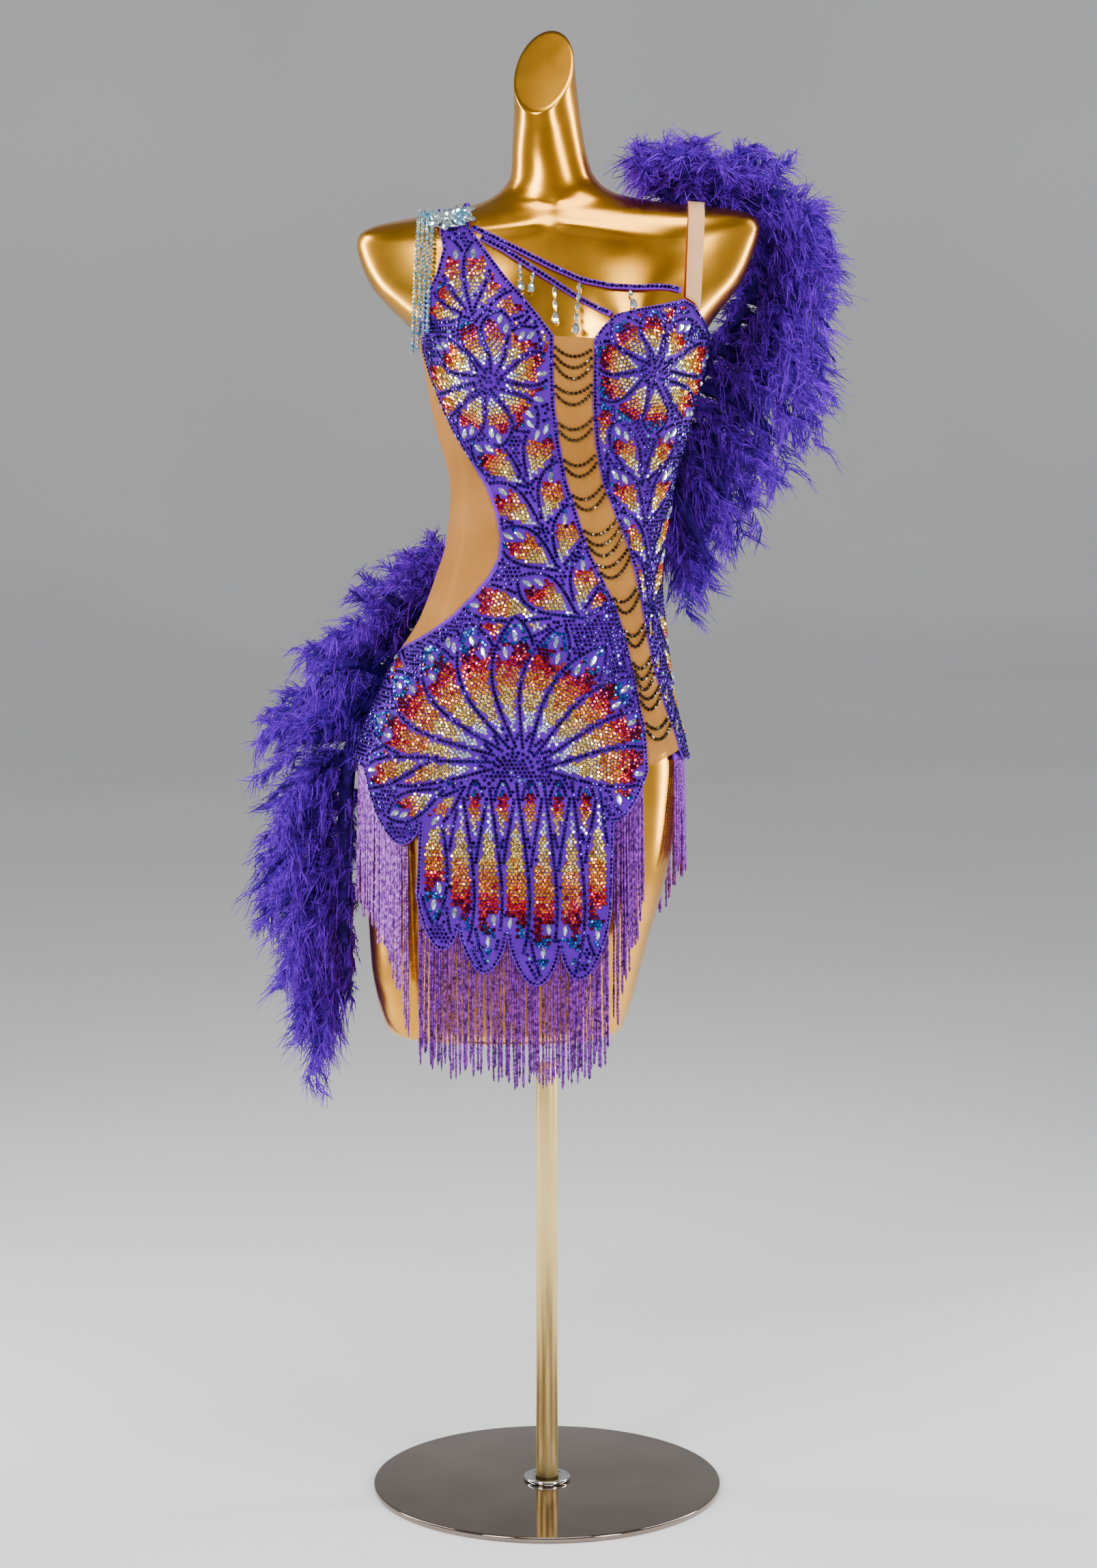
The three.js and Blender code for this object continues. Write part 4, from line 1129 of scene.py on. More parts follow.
def long_stones(frames, spread):
    """Two long stones in the outer part of each big leaf: unrolled u, v and a turn."""
    made = []
    for k, (root, along, aside, long, wide) in enumerate(frames):
        if long <= BIG_LEAF_LONG or wide < BIG_LEAF_WIDE:
            continue
        for t, off in ((0.86, 0.0), (0.74, 0.4 * wide * (1 if k % 2 else -1))):
            p = root + along * long * t + aside * off
            if len(shown(p[None], frames[:k], 2)) and spread.add(*p, LONG_STONE_GAP):
                turn = math.atan2(along[1], along[0])
                made.append((*p, turn + 0.25 * off / wide))
    return made


def leaf_stones(k, frames, spread):
    """The dark outline of a leaf and the graded rows inside it."""
    root, along, aside, long, wide = frames[k]
    stones = []
    t = np.linspace(0, 1, 400)
    edge = leaf_half_width(t, wide)
    for side in (1, -1):
        line = root + along * (t * long)[:, None] + aside * (side * edge)[:, None]
        walk = walk_along(line)
        line = sampled(line, walk, np.arange(0, walk[-1], STONE_PITCH))
        name = "violet" if (k + side) % 3 else "indigo"
        for p in shown(line, frames[:k], 1.0):
            if spread.add(*p, STONE_GAP):
                stones.append((*p, name, OUTLINE_STONE))
    for i, r in enumerate(np.arange(STONE_PITCH * 0.7, long, STONE_PITCH * 0.88)):
        w = float(leaf_half_width(r / long, wide)) - STONE_PITCH * 0.72
        if w < 0:
            continue
        count = int(w // STONE_PITCH)
        offs = np.arange(-count, count + 1) * STONE_PITCH + (i % 2) * STONE_PITCH / 2
        offs = offs[np.abs(offs) <= w + 0.6]
        for p in shown(root + along * r + aside * offs[:, None], frames[:k], 1.6):
            if spread.add(*p, STONE_GAP):
                share = r / long + dice.normal(0, 0.035)
                grade = GRADES[int(np.searchsorted(GRADE_STEPS, share))]
                stones.append((*p, grade, LEAF_STONE + dice.uniform(-0.08, 0.08)))
    return stones


def ground_stones(loop, spread):
    """Dark stones on what the leaves leave free, with a sky blue one here and there."""
    stones = []
    low, high = loop_bounds(loop)
    for i, v in enumerate(np.arange(low[1], high[1], STONE_PITCH)):
        for u in np.arange(low[0], high[0], STONE_PITCH * 1.1) + (i % 2) * STONE_PITCH * 0.55:
            if not spread.add(u, v, STONE_GAP * 1.04):
                continue
            pick = dice.random()
            name = "violet" if pick < 0.8 else ("indigo" if pick < 0.97 else "sky")
            stones.append((u, v, name, GROUND_STONE + dice.uniform(-0.15, 0.15)))
    return stones


def stone_design(loop, leaves):
    """Places on a panel: round stones (u, v, colour, radius) and long ones (u, v, turn)."""
    spread = Spread()
    frames = [leaf_frame(leaf) for leaf in leaves]
    large = long_stones(frames, spread)
    small = [stone for k in range(len(frames)) for stone in leaf_stones(k, frames, spread)]
    return small + ground_stones(loop, spread), large


def loop_bounds(loop):
    """The least and the greatest unrolled u, v of a panel's outline."""
    angle, level = loop[:, 0] / SCALE, loop[:, 1]
    length = length_at(angle, level)
    return (length.min(), level.min()), (length.max(), level.max())


# below this x, towards the wearer's right, and between these levels the binding stays bare
WAIST_CUT_BAND = (-30, 785, 1035)


def edge_stones(loop):
    """A row of dark stones on the bindings: places and normals."""
    places, normals = [], []
    limit, low, high = WAIST_CUT_BAND
    for run in bound_runs(loop, -1):
        path, normal = from_chart(run)
        inward = sideways(path, normal) * turn_of(loop)
        line = path + inward * EDGE_STONE_IN + normal * EDGE_STONE_OUT
        p, n = at_steps(line, normal, EDGE_STONE_PITCH)
        bare = (p[:, 0] < limit) & (p[:, 2] > low) & (p[:, 2] < high)
        places.append(p[~bare])
        normals.append(n[~bare])
    return np.concatenate(places), np.concatenate(normals)


def on_panel(loop, u, v, margin):
    """Which unrolled places a panel holds, with their points and normals on its cloth."""
    chart = np.stack([angle_at(u, v) * SCALE, v], -1)
    held, far = inside(chart, loop)
    kept = held & (far > margin)
    return kept, *from_chart(chart[kept], 0.05)


def decorate(name, loop, leaves):
    """The round and the long stones of one panel, set on its cloth inside its bindings."""
    stones, long_ones = stone_design(loop, leaves)
    u, v = np.array([s[:2] for s in stones]).T
    kept, points, normals = on_panel(loop, u, v, STONE_MARGIN)
    stones = [s for s, k in zip(stones, kept) if k]
    edge, facing = edge_stones(loop)
    points, normals = np.concatenate([points, edge]), np.concatenate([normals, facing])
    picks = [COLOURS.index(s[2]) for s in stones]
    picks += [COLOURS.index("indigo" if i % 3 else "violet") for i in range(len(edge))]
    sizes = [s[3] for s in stones] + [EDGE_STONE] * len(edge)
    small = set_stones(name, points, normals, sizes, picks, COLOURS, tilt=0.13)
    u, v, turn = np.array(long_ones).T
    kept, points, normals = on_panel(loop, u, v, LONG_STONE_MARGIN)
    large = set_stones(
        f"{name}_large", points, normals, LONG_STONE, 0, ["clear"], NAVETTE, turn[kept], 0.03
    )
    return small, large


# ---- the centre strip's bead swags ----
def bead_shape():
    """A faceted bead as tall as it is wide."""
    t = np.arange(6) * np.pi / 3
    ring = np.stack([np.cos(t), np.sin(t), np.zeros(6)], -1)
    levels = [ring * 0.6 + (0, 0, 1.15), ring, ring * 0.6 + (0, 0, -1.15)]
    points = np.concatenate(levels)
    quads = ring_faces(3, 6)[:, ::-1]
    faces = [quads[:, (0, 1, 2)], quads[:, (0, 2, 3)]]
    fan_of = [(0, i, i + 1) for i in range(1, 5)] + [(12, 13 + i, 12 + i) for i in range(1, 5)]
    return points, np.concatenate([*faces, np.array(fan_of)])


BEAD_SHAPE = bead_shape()
SWAG_LEVELS = [1143, 1107, 1072, 1037, 1003, 969, 936, 904, 873, 842, 812, 783]
SWAG_BEAD, SWAG_STEP, SWAG_LIFT = 1.95, 4.1, 1.4
ROW_DROP, FIRST_SAG, ROW_SAG = 7.5, 8.5, 3.0
TRIPLE_SWAGS = (0, 5, 9)  # the others have two rows of beads


def x_on(line, z):
    """Where a seam line that runs down passes a level."""
    p = np.array(line, float)[::-1]
    return float(np.interp(z, p[:, 1], p[:, 0]))


def bead_swags():
    """Rows of dark beads that sag across the centre strip."""
    places, normals = [], []
    for k, z in enumerate(SWAG_LEVELS):
        lean = -(x_on(STRIP_RIGHT_SIDE, z + 12) - x_on(STRIP_RIGHT_SIDE, z - 12)) / 24
        for row in range(3 if k in TRIPLE_SWAGS else 2):
            top = z - ROW_DROP * row
            ax = x_on(STRIP_RIGHT_SIDE, top) + 1.0
            bx = x_on(STRIP_LEFT_SIDE, top) - 1.0
            rise = lean * (bx - ax) * 0.9
            bx = x_on(STRIP_LEFT_SIDE, top + rise) - 1.0
            sag = FIRST_SAG + ROW_SAG * row
            t = np.linspace(0, 1, 200)
            level = top + rise * t - sag * 4 * t * (1 - t)
            angle, level = DRESS.seen(mix(ax, bx, t), level, -1)
            line, normal = above_cloth(angle, level, SWAG_LIFT)
            walk = walk_along(line)
            at = np.arange(1.6, walk[-1], SWAG_STEP)
            places.append(sampled(line, walk, at))
            normals.append(sampled(normal, walk, at))
    places, normals = np.concatenate(places), np.concatenate(normals)
    return set_stones(
        "centre_bead_swags", places, normals, SWAG_BEAD, 0, ["hematite"], BEAD_SHAPE
    )


# ---- straps, drops and the jewel ----
UPPER_STRAP = [
    [-70, 1254], [-58, 1248.5], [-45, 1242], [-22, 1230.5], [5, 1217], [34, 1204.5],
    [60, 1199], [84, 1197.5], [106, 1198.5], [117, 1198], [126, 1195.5],
]
LOWER_STRAP = [
    [-62.5, 1244.5], [-53, 1239.5], [-42, 1234], [-18, 1218.5], [5, 1204],
    [31, 1187.5], [50, 1177.5], [61, 1172.5],
]
STRAP_WIDE, STRAP_THICK, STRAP_LIFT = 5.5, 2.4, 1.1
STRAP_STEP, STRAP_BEAD, STRAP_BEAD_STEP = 2.5, 2.05, 4.3


def even_walk(points, step):
    """Points at even steps along a line."""
    p = np.array(points, float)
    walk = walk_along(p)
    return sampled(p, walk, np.linspace(0, walk[-1], max(3, int(walk[-1] / step) + 1)))


def chest_strap(name, route, node_name):
    """A narrow violet strap across the chest, with a row of dark beads on it."""
    flat = even_walk(route, STRAP_STEP)
    angle, level = DRESS.seen(flat[:, 0], flat[:, 1], -1)
    path = DRESS.lifted(angle, level, STRAP_LIFT)
    normal = DRESS.normal(angle, level)
    w, t = STRAP_WIDE / 2, STRAP_THICK
    profile = [(-w, 0.4), (-w, t * 0.7), (-w * 0.7, t), (0, t * 0.82), (w * 0.7, t)]
    profile += [(w, t * 0.7), (w, 0.4), (w * 0.7, 0), (-w * 0.7, 0)]
    band = swept(name, path, normal, sideways(path, normal), profile, BINDING)
    settle(band, "violet_strap", node_name)
    beads, facing = at_steps(path + normal * (t + 0.5), normal, STRAP_BEAD_STEP)
    picks = dice.integers(0, 2, len(beads))
    row = set_stones(
        f"{name}_stones", beads, facing, STRAP_BEAD, picks, ["indigo", "violet"], BEAD_SHAPE
    )
    settle(row, "crystal")


# the left strap's inner and outer edges: the panel's level, x there, x for each millimetre up
LEFT_STRAP_FRONT = [(1187.8, 130.6, 0.057), (1176, 144, 0.0726)]
LEFT_STRAP_BACK = [(1157.6, 138, -0.007), (1160.8, 150, 0.0216)]
LEFT_STRAP_LOW = [(0, 1187.8), (0.62, 1182.9), (1, 1176)]  # share across, the front end's level
LEFT_STRAP_THICK, LEFT_STRAP_WIDE = 1.4, 0.016


def strap_x(edges, level, share):
    """How far to the left the strap lies at a level, at a share of the way across it."""
    inner, outer = (x + (level - z) * lean for z, x, lean in edges)
    return mix(inner, outer, share)


def left_strap():
    """The elastic band over the wearer's left shoulder, stitched down its middle."""
    rows, columns = 90, 9
    s = np.linspace(-1, 1, rows)
    top_levels = np.linspace(SHOULDER_LOW, SHOULDER_TOP, 200)
    cx, half = DRESS.section(top_levels)[:2]
    reach = (cx + half)[::-1]
    points = np.zeros((rows, columns, 3))
    for i, a in enumerate(np.linspace(0, 1, columns)):
        front_low = np.interp(a, *zip(*LEFT_STRAP_LOW))
        back_low = mix(LEFT_STRAP_BACK[0][0], LEFT_STRAP_BACK[1][0], a)
        low = np.where(s < 0, front_low, back_low)
        x = np.full(rows, 143.0)
        for _ in range(6):
            peak = np.interp(x, reach, top_levels[::-1])
            level = peak - (peak - low) * s * s
            front = strap_x(LEFT_STRAP_FRONT, level, a)
            x = np.where(s < 0, front, strap_x(LEFT_STRAP_BACK, level, a))
        cx, half, *_, power, _, _ = DRESS.section(level)
        c = np.clip((x - cx) / half, -1, 1)
        angle = np.sign(s) * np.arccos(signed_power(c, power / 2))
        points[:, i] = DRESS.lifted(angle, level, cloth_lift(level) + CLOTH)
    i, j = np.meshgrid(np.arange(rows - 1), np.arange(columns - 1), indexing="ij")
    k = (i * columns + j).ravel()
    faces = np.stack([k, k + columns, k + columns + 1, k + 1], -1)
    band = make_object("left_shoulder_strap", points, faces, [TAN])
    thicken(band, LEFT_STRAP_THICK)
    settle(band, "nude_elastic", "left_strap")
    middle = points[:, columns // 2]
    aside = points[:, -1] - points[:, 0]
    out = -unit(np.cross(np.gradient(middle, axis=0), aside))
    if out[rows // 2, 2] < 0:
        out = -out
    zig, faces = zigzag(middle, out, unit(aside), -2.2, 2.2, 3.4, 0.12)
    stitch = settle(make_object("left_strap_stitch", zig, faces, [TAN]), "nude_elastic")
    area = cloth_area(band)


# strap, x on it, then the end's x, z and lift off the figure, and how many beads
DROPS = [
    (LOWER_STRAP, -26, -25, 1193, 6, 3),
    (LOWER_STRAP, -13, -16, 1192, 6, 1),
    (LOWER_STRAP, 7, 8, 1163, 6, 2),
    (UPPER_STRAP, 31, 30, 1153, 17, 4),
    (UPPER_STRAP, 78, 82, 1176, 6, 1),
]
# radius and share of a bead's length, then radius and distance down the tear at the end
DROP_BEAD = [(0.5, 0.04), (1.5, 0.2), (2.1, 0.42), (2.1, 0.6), (1.5, 0.8), (0.5, 0.96)]
TEAR = [(0.6, 0.4), (1.7, 2.2), (3.3, 6.2), (3.8, 8.6), (3.3, 10.9), (1.9, 12.5)]
TEAR_LONG = 13


def seen_lifted(x, z, lift):
    """One point at a lift off the figure, seen at x, z from the front."""
    angle, level = DRESS.seen([x], [z], -1)
    return DRESS.lifted(angle, level, lift)[0]


def bead_drop(number, strap, x, end_x, end_z, off, beads):
    """A string of faceted beads under a chest strap, with a tear at its end."""
    line = np.array(strap, float)
    i = int(np.searchsorted(line[:, 0], x, side="right"))
    (ax, az), (bx, bz) = line[i - 1], line[i]
    slope = (bz - az) / (bx - ax)
    z = az + slope * (x - ax) - (STRAP_WIDE / 2 + SEAM_GAP) * math.hypot(1, slope)
    top = seen_lifted(x, z, STRAP_LIFT + STRAP_THICK - SEAM_GAP)
    end = seen_lifted(end_x, end_z, off)
    long = float(np.linalg.norm(end - top))
    down = (end - top) / long
    tear = long - TEAR_LONG
    room = tear / beads
    profile = [(0.35, 0.0)]
    profile += [(r, room * (b + share)) for b in range(beads) for r, share in DROP_BEAD]
    profile += [(r, tear + far) for r, far in TEAR] + [(0.1, long)]
    ring = circles(down[None], 8)[0]
    rings = [top + down * far + ring * r for r, far in profile]
    drop = lofted_object(f"bead_drop_string_{number}", rings, CRYSTALS["clear"], smooth=False)
    settle(drop, "crystal", f"bead_drop_{number}")


# place across and up the jewel, turn in degrees, half length
JEWEL_STONES = [
    (0, 0, 20, 8.5), (13, 1, -12, 9), (-12, 5, 165, 9), (7, 9, 50, 8), (-5, 10, 115, 8),
    (9, -8, -50, 8.5), (-3, -10, -95, 8.5), (-13, -5, 200, 8.5), (19, -5, -28, 7),
    (-21, 7, 158, 8), (18, 6, 15, 7), (1, 5, 80, 5.5), (-7, -1, 10, 5.5), (13, 7, 30, 5),
    (5, -3, -40, 5.5), (-16, 1, 120, 5),
]
# x at the root, then x and z at the end
CHAINS = [
    (-122, -129, 1137), (-117.6, -123.6, 1143), (-113.2, -118.4, 1152), (-108.8, -114, 1158),
]
CHAIN_TOP, CHAIN_ROOT, CHAIN_LIFT = 1264, 1262, 6.8
CHAIN_BEAD, CHAIN_STEP, CHAIN_LINK = 2.45, 4.6, 0.8
JEWEL_X, JEWEL_Z, JEWEL_LIFT, JEWEL_STONE_HIGH = -91, 1259, 5.6, 2.6
PLATE_WIDE, PLATE_HIGH = 20, 12.5
PLATE_ROWS = [(0.02, -1.6), (0.8, -1.5), (1, 0), (0.9, 1.3), (0.4, 1.7), (0.02, 1.8)]


def shoulder_jewel():
    """A crystal jewel on the right shoulder: long stones on a scalloped plate."""
    angle, level = DRESS.seen([JEWEL_X], [JEWEL_Z], -1)
    out = DRESS.normal(angle, level)[0]
    centre = DRESS.point(angle, level)[0] + out * JEWEL_LIFT
    across = unit(np.array([1.0, 0, 0]) - out * out[0])
    up = np.cross(out, across)
    base, faces = NAVETTE
    made, every, picks = [], [], []
    for i, (u, v, turn, long) in enumerate(JEWEL_STONES):
        c, s = math.cos(math.radians(turn)), math.sin(math.radians(turn))
        a, b = across * c + up * s, up * c - across * s
        place = centre + across * u + up * v + out * (1.6 + 0.55 * (i % 4))
        flat = base[:, :1] * a * long + base[:, 1:2] * b * long
        made.append(place + flat + base[:, 2:] * out * JEWEL_STONE_HIGH)
        every.append(faces + i * len(base))
        picks += [1 if i % 4 == 1 else 0] * len(faces)
    stones = make_object(
        "shoulder_jewel_stones", np.concatenate(made), np.concatenate(every),
        [CRYSTALS["clear"], CRYSTALS["sky"]], picks, smooth=False,
    )
    turn = np.linspace(0, 2 * np.pi, 40, endpoint=False)
    scallop = 1 + 0.07 * np.sin(turn * 9)
    rings = []
    for r, h in PLATE_ROWS:
        wide = (PLATE_WIDE * r * scallop * np.cos(turn))[:, None]
        high = (PLATE_HIGH * r * scallop * np.sin(turn))[:, None]
        rings.append(centre + across * wide + up * high + out * h)
    plate = lofted_object("shoulder_jewel_plate", rings, CHROME)
    settle(plate, "crystal", "shoulder_jewel")
    settle(stones, "crystal")


def shoulder_chains():
    """Chains of clear and sky blue beads that hang from the jewel, down the arm side."""
    places, normals = [], []
    for x, end_x, end_z in CHAINS:
        z = np.linspace(CHAIN_TOP, end_z, 160)
        at = mix(x, end_x, (CHAIN_ROOT - z) / (CHAIN_ROOT - end_z))
        angle, level = DRESS.seen(at, z, -1)
        on = DRESS.lifted(angle, level, CHAIN_LIFT)
        line = np.stack([at, np.minimum.accumulate(on[:, 1]), on[:, 2]], -1)
        facing = np.tile((0.0, -1.0, 0.0), (len(line), 1))
        p, n = at_steps(line, facing, CHAIN_STEP)
        places.append(p)
        normals.append(n)
    places, normals = np.concatenate(places), np.concatenate(normals)
    picks = (np.arange(len(places)) % 3 == 1).astype(int)
    palette = ["clear", "sky"]
    chains = set_stones(
        "shoulder_chains", places, normals, CHAIN_BEAD, picks, palette, BEAD_SHAPE, tilt=0.02
    )
    settle(chains, "crystal")
    between = places + (0, 0, 2.05)
    links = set_stones(
        "shoulder_chain_links", between, normals, CHAIN_LINK, 0, ["clear"], BEAD_SHAPE
    )
    settle(links, "crystal")


# ---- fringe ----
# name, spacing, lift off the figure, cord, then rows: angle, the tape's level, the cords' end
FRINGES = [
    ("fringe_front", 2.45, 1.7, PLUM_CORD, [
        (-123.5, 624, 463), (-107, 598, 448), (-93, 592, 442), (-79, 578, 436), (-61, 612, 466),
    ]),
    ("fringe_thigh", 2.6, 0.9, PLUM_CORD, [(-60, 702, 486), (-52, 722, 560), (-45, 744, 610)]),
    ("fringe_hip", 2.5, 0.9, LILAC_CORD, [
        (-178, 746, 604), (-165, 745, 597), (-150, 741, 582), (-138, 716, 552), (-127, 704, 474),
    ]),
    ("fringe_back", 3.9, 0.9, PLUM_CORD, [
        (-24, 746, 640), (0, 746, 634), (15, 744, 620), (52, 700, 520), (80, 656, 455),
        (99, 656, 450), (126, 708, 500), (160, 742, 580), (176, 746, 598),
    ]),
]
TAPE_WIDE, TAPE_THICK, TAPE_STEP = 6, 1.5, 3.0
CORD_WIDE, CORD_THIN, CORD_TWIST, CORD_STEP = 1.55, 0.95, 7.5, 3.4


def twisted_cords(name, tops, ends, material):
    """Twisted cords from tops down to ends, each a flattened yarn turned along its length."""
    count = len(tops)
    rings = int(np.max(tops[:, 2] - ends[:, 2]) / CORD_STEP)
    q = np.linspace(0, 1, rings)[None, :, None]
    line = tops[:, None] * (1 - q) + ends[:, None] * q
    phase = dice.uniform(0, 6.28, (count, 1))
    sway = dice.normal(0, 0.5, (count, 1))
    t = q[..., 0]
    line[..., 0] += sway * np.sin(t * np.pi * 1.6 + phase) * t
    line[..., 1] -= np.abs(sway) * 0.6 * t
    corner = np.arange(4) * np.pi / 2
    twist = phase[..., None] + (line[..., 2] / CORD_TWIST * 2 * np.pi)[..., None] + corner
    fine = dice.uniform(0.85, 1.12, (count, 1, 1))
    radius = np.where(np.arange(4) % 2 == 0, CORD_WIDE, CORD_THIN) * fine
    radius = radius * np.where((t > 0.985)[..., None], 0.45, 1.0)
    points = np.repeat(line[:, :, None, :], 4, 2)
    points[..., 0] += np.cos(twist) * radius
    points[..., 1] += np.sin(twist) * radius
    faces = ring_faces(rings, 4)[:, ::-1]
    every = (faces[None] + (np.arange(count) * rings * 4)[:, None, None]).reshape(-1, 4)
    return make_object(name, points, every, [material])


def fringe(name, spacing, lift, material, rows):
    """A tape under a hem and the twisted cords that hang from it."""
    columns = np.array(rows, float).T
    level_of, reach_of = (smooth_curve(columns[0], c) for c in columns[1:])
    fine = np.linspace(columns[0][0], columns[0][-1], 600)

    def place(angles, extra=0.0):
        off = lift + TAPE_THICK / 2 + extra
        return DRESS.lifted(np.radians(angles), level_of(angles), off)

    walk = walk_along(place(fine))
    count = int((walk[-1] - 3) / spacing)
    at = 1.5 + spacing * (np.arange(count) + 0.5) + dice.uniform(-0.5, 0.5, count)
    angles = np.interp(at, walk, fine)
    tops = place(angles)
    out = DRESS.normal(np.radians(angles), level_of(angles))
    ends = tops + out * dice.uniform(0.6, 3.4, count)[:, None]
    ends[:, 0] += dice.normal(0, 1.0, count)
    ends[:, 2] = reach_of(angles) + dice.uniform(-10, 12, count)
    cords = twisted_cords(f"{name}_cords", tops, ends, material)
    stops = np.interp(np.arange(0, walk[-1], TAPE_STEP), walk, fine)
    path = place(stops, -TAPE_THICK / 2)
    normal = DRESS.normal(np.radians(stops), level_of(stops))
    w, t = TAPE_WIDE / 2, TAPE_THICK
    profile = [(-w, 0), (-w, t), (w, t), (w, 0)]
    tape = swept(f"{name}_tape", path, normal, sideways(path, normal), profile, BINDING)
    settle(tape, "violet_strap")
    settle(cords, "lilac_fringe", name)


# ---- feathers ----
# a point on the trim's cord, a plume's reach, its aim in degrees seen from the front, its droop
SHOULDER_ROUTE = [
    (112, 26, 1288, 62, 128, 7), (135, 34, 1284.3, 66, 100, 5), (165, 46, 1280.3, 72, 70, 9),
    (194, 57, 1266, 84, 38, 20), (212, 70, 1236, 86, 8, 40), (198, 84, 1186, 98, -8, 60),
    (160, 90, 1130, 118, -12, 58), (132, 84, 1070, 100, -16, 60), (112, 76, 1015, 80, -20, 60),
    (100, 74, 970, 60, -30, 60),
]
HIP_ROUTE = [
    (88, 80, 934, 36, 270, 30), (40, 86, 922, 50, 260, 40), (-20, 90, 912, 56, 215, 36),
    (-74, 88, 900, 72, 128, 4), (-112, 76, 870, 84, 132, 6), (-150, 62, 826, 102, 150, 22),
    (-176, 50, 766, 108, 175, 30), (-186, 46, 700, 100, 185, 50), (-188, 44, 630, 88, 190, 60),
    (-188, 42, 560, 66, 200, 68), (-188, 42, 500, 44, 215, 74),
]
CORE, KEEP_OFF = 8, 1.9
SPINE_STOPS, LOCKS = 9, 22
SHOULDER_PLUMES, HIP_PLUMES, PLUME_FLUES = 110, 124, 194
DOWN_LOBES, DOWN_RADII = 30, [5, 6.5, 7, 6.5, 5.5, 4.5, 3, 1.8, 0.6]
ROOT_PLUMES, ROOT_FLUES, ROOT_SPREAD, ROOT_SIZE, ROOT_FLUE_LONG = 56, 72, 60, 0.22, 24.0
FLUE_LONG, FLUE_WIDE, FLUE_STOPS = 37.0, 0.76, 5
DOWN_AROUND = 8
PUSHED_BELOW = 1262  # above this level the neck is near, and nothing is moved


def clear_of(points, margin):
    """Moves points level outward until they are clear of the cloth."""
    x, y, z = np.moveaxis(points, -1, 0)
    cx, half, front, back, power, _, _ = DRESS.section(z)
    off = margin + cloth_lift(z) + CLOTH
    middle = (front + back) / 2
    wide, deep = half + off, (back - front) / 2 + off
    u, v = (x - cx) / wide, (y - middle) / deep
    f = (np.abs(u) ** power + np.abs(v) ** power) ** (1 / power)
    push = (f < 1) & (f > 1e-6) & (z < PUSHED_BELOW)
    f = np.where(push, f, 1)
    return np.stack([cx + u / f * wide, middle + v / f * deep, z], -1)


def plume_lines(route, count, seed, spread=16, size=1.0, back=0.0):
    """Spines of plumes along a trim, each a line of points from root to tip.

    The spread is in degrees to either side of a plume's aim, and back turns them all.
    """
    r = np.random.default_rng(seed)
    columns = np.array(route, float).T
    steps = np.arange(len(route), dtype=float)
    x, y, z, reach, aim, droop = [smooth_curve(steps, c) for c in columns]
    t = (len(route) - 1) * (np.arange(count) + 0.5) / count
    root = clear_of(np.stack([x(t), y(t), z(t)], -1), CORE + KEEP_OFF)
    turn = np.radians(aim(t) + back + spread * r.uniform(-1, 1, count))
    aside = 0.62 * ((np.arange(count) % 3) - 1) + 0.25 * r.uniform(-1, 1, count)
    to = unit(np.stack([np.cos(turn), aside, np.sin(turn)], -1))
    long = size * reach(t) * r.uniform(0.72, 1.0, count)
    fall = size * droop(t) * r.uniform(0.7, 1.15, count)
    q = np.linspace(0, 1, SPINE_STOPS)[None, :, None]
    line = root[:, None] + to[:, None] * long[:, None, None] * q**0.85
    line[..., 2] -= fall[:, None] * q[..., 0] ** 2
    curl = r.uniform(-1, 1, (count, 3)) * 6
    line += curl[:, None] * np.sin(q * np.pi) * q
    return clear_of(line, KEEP_OFF + 3)


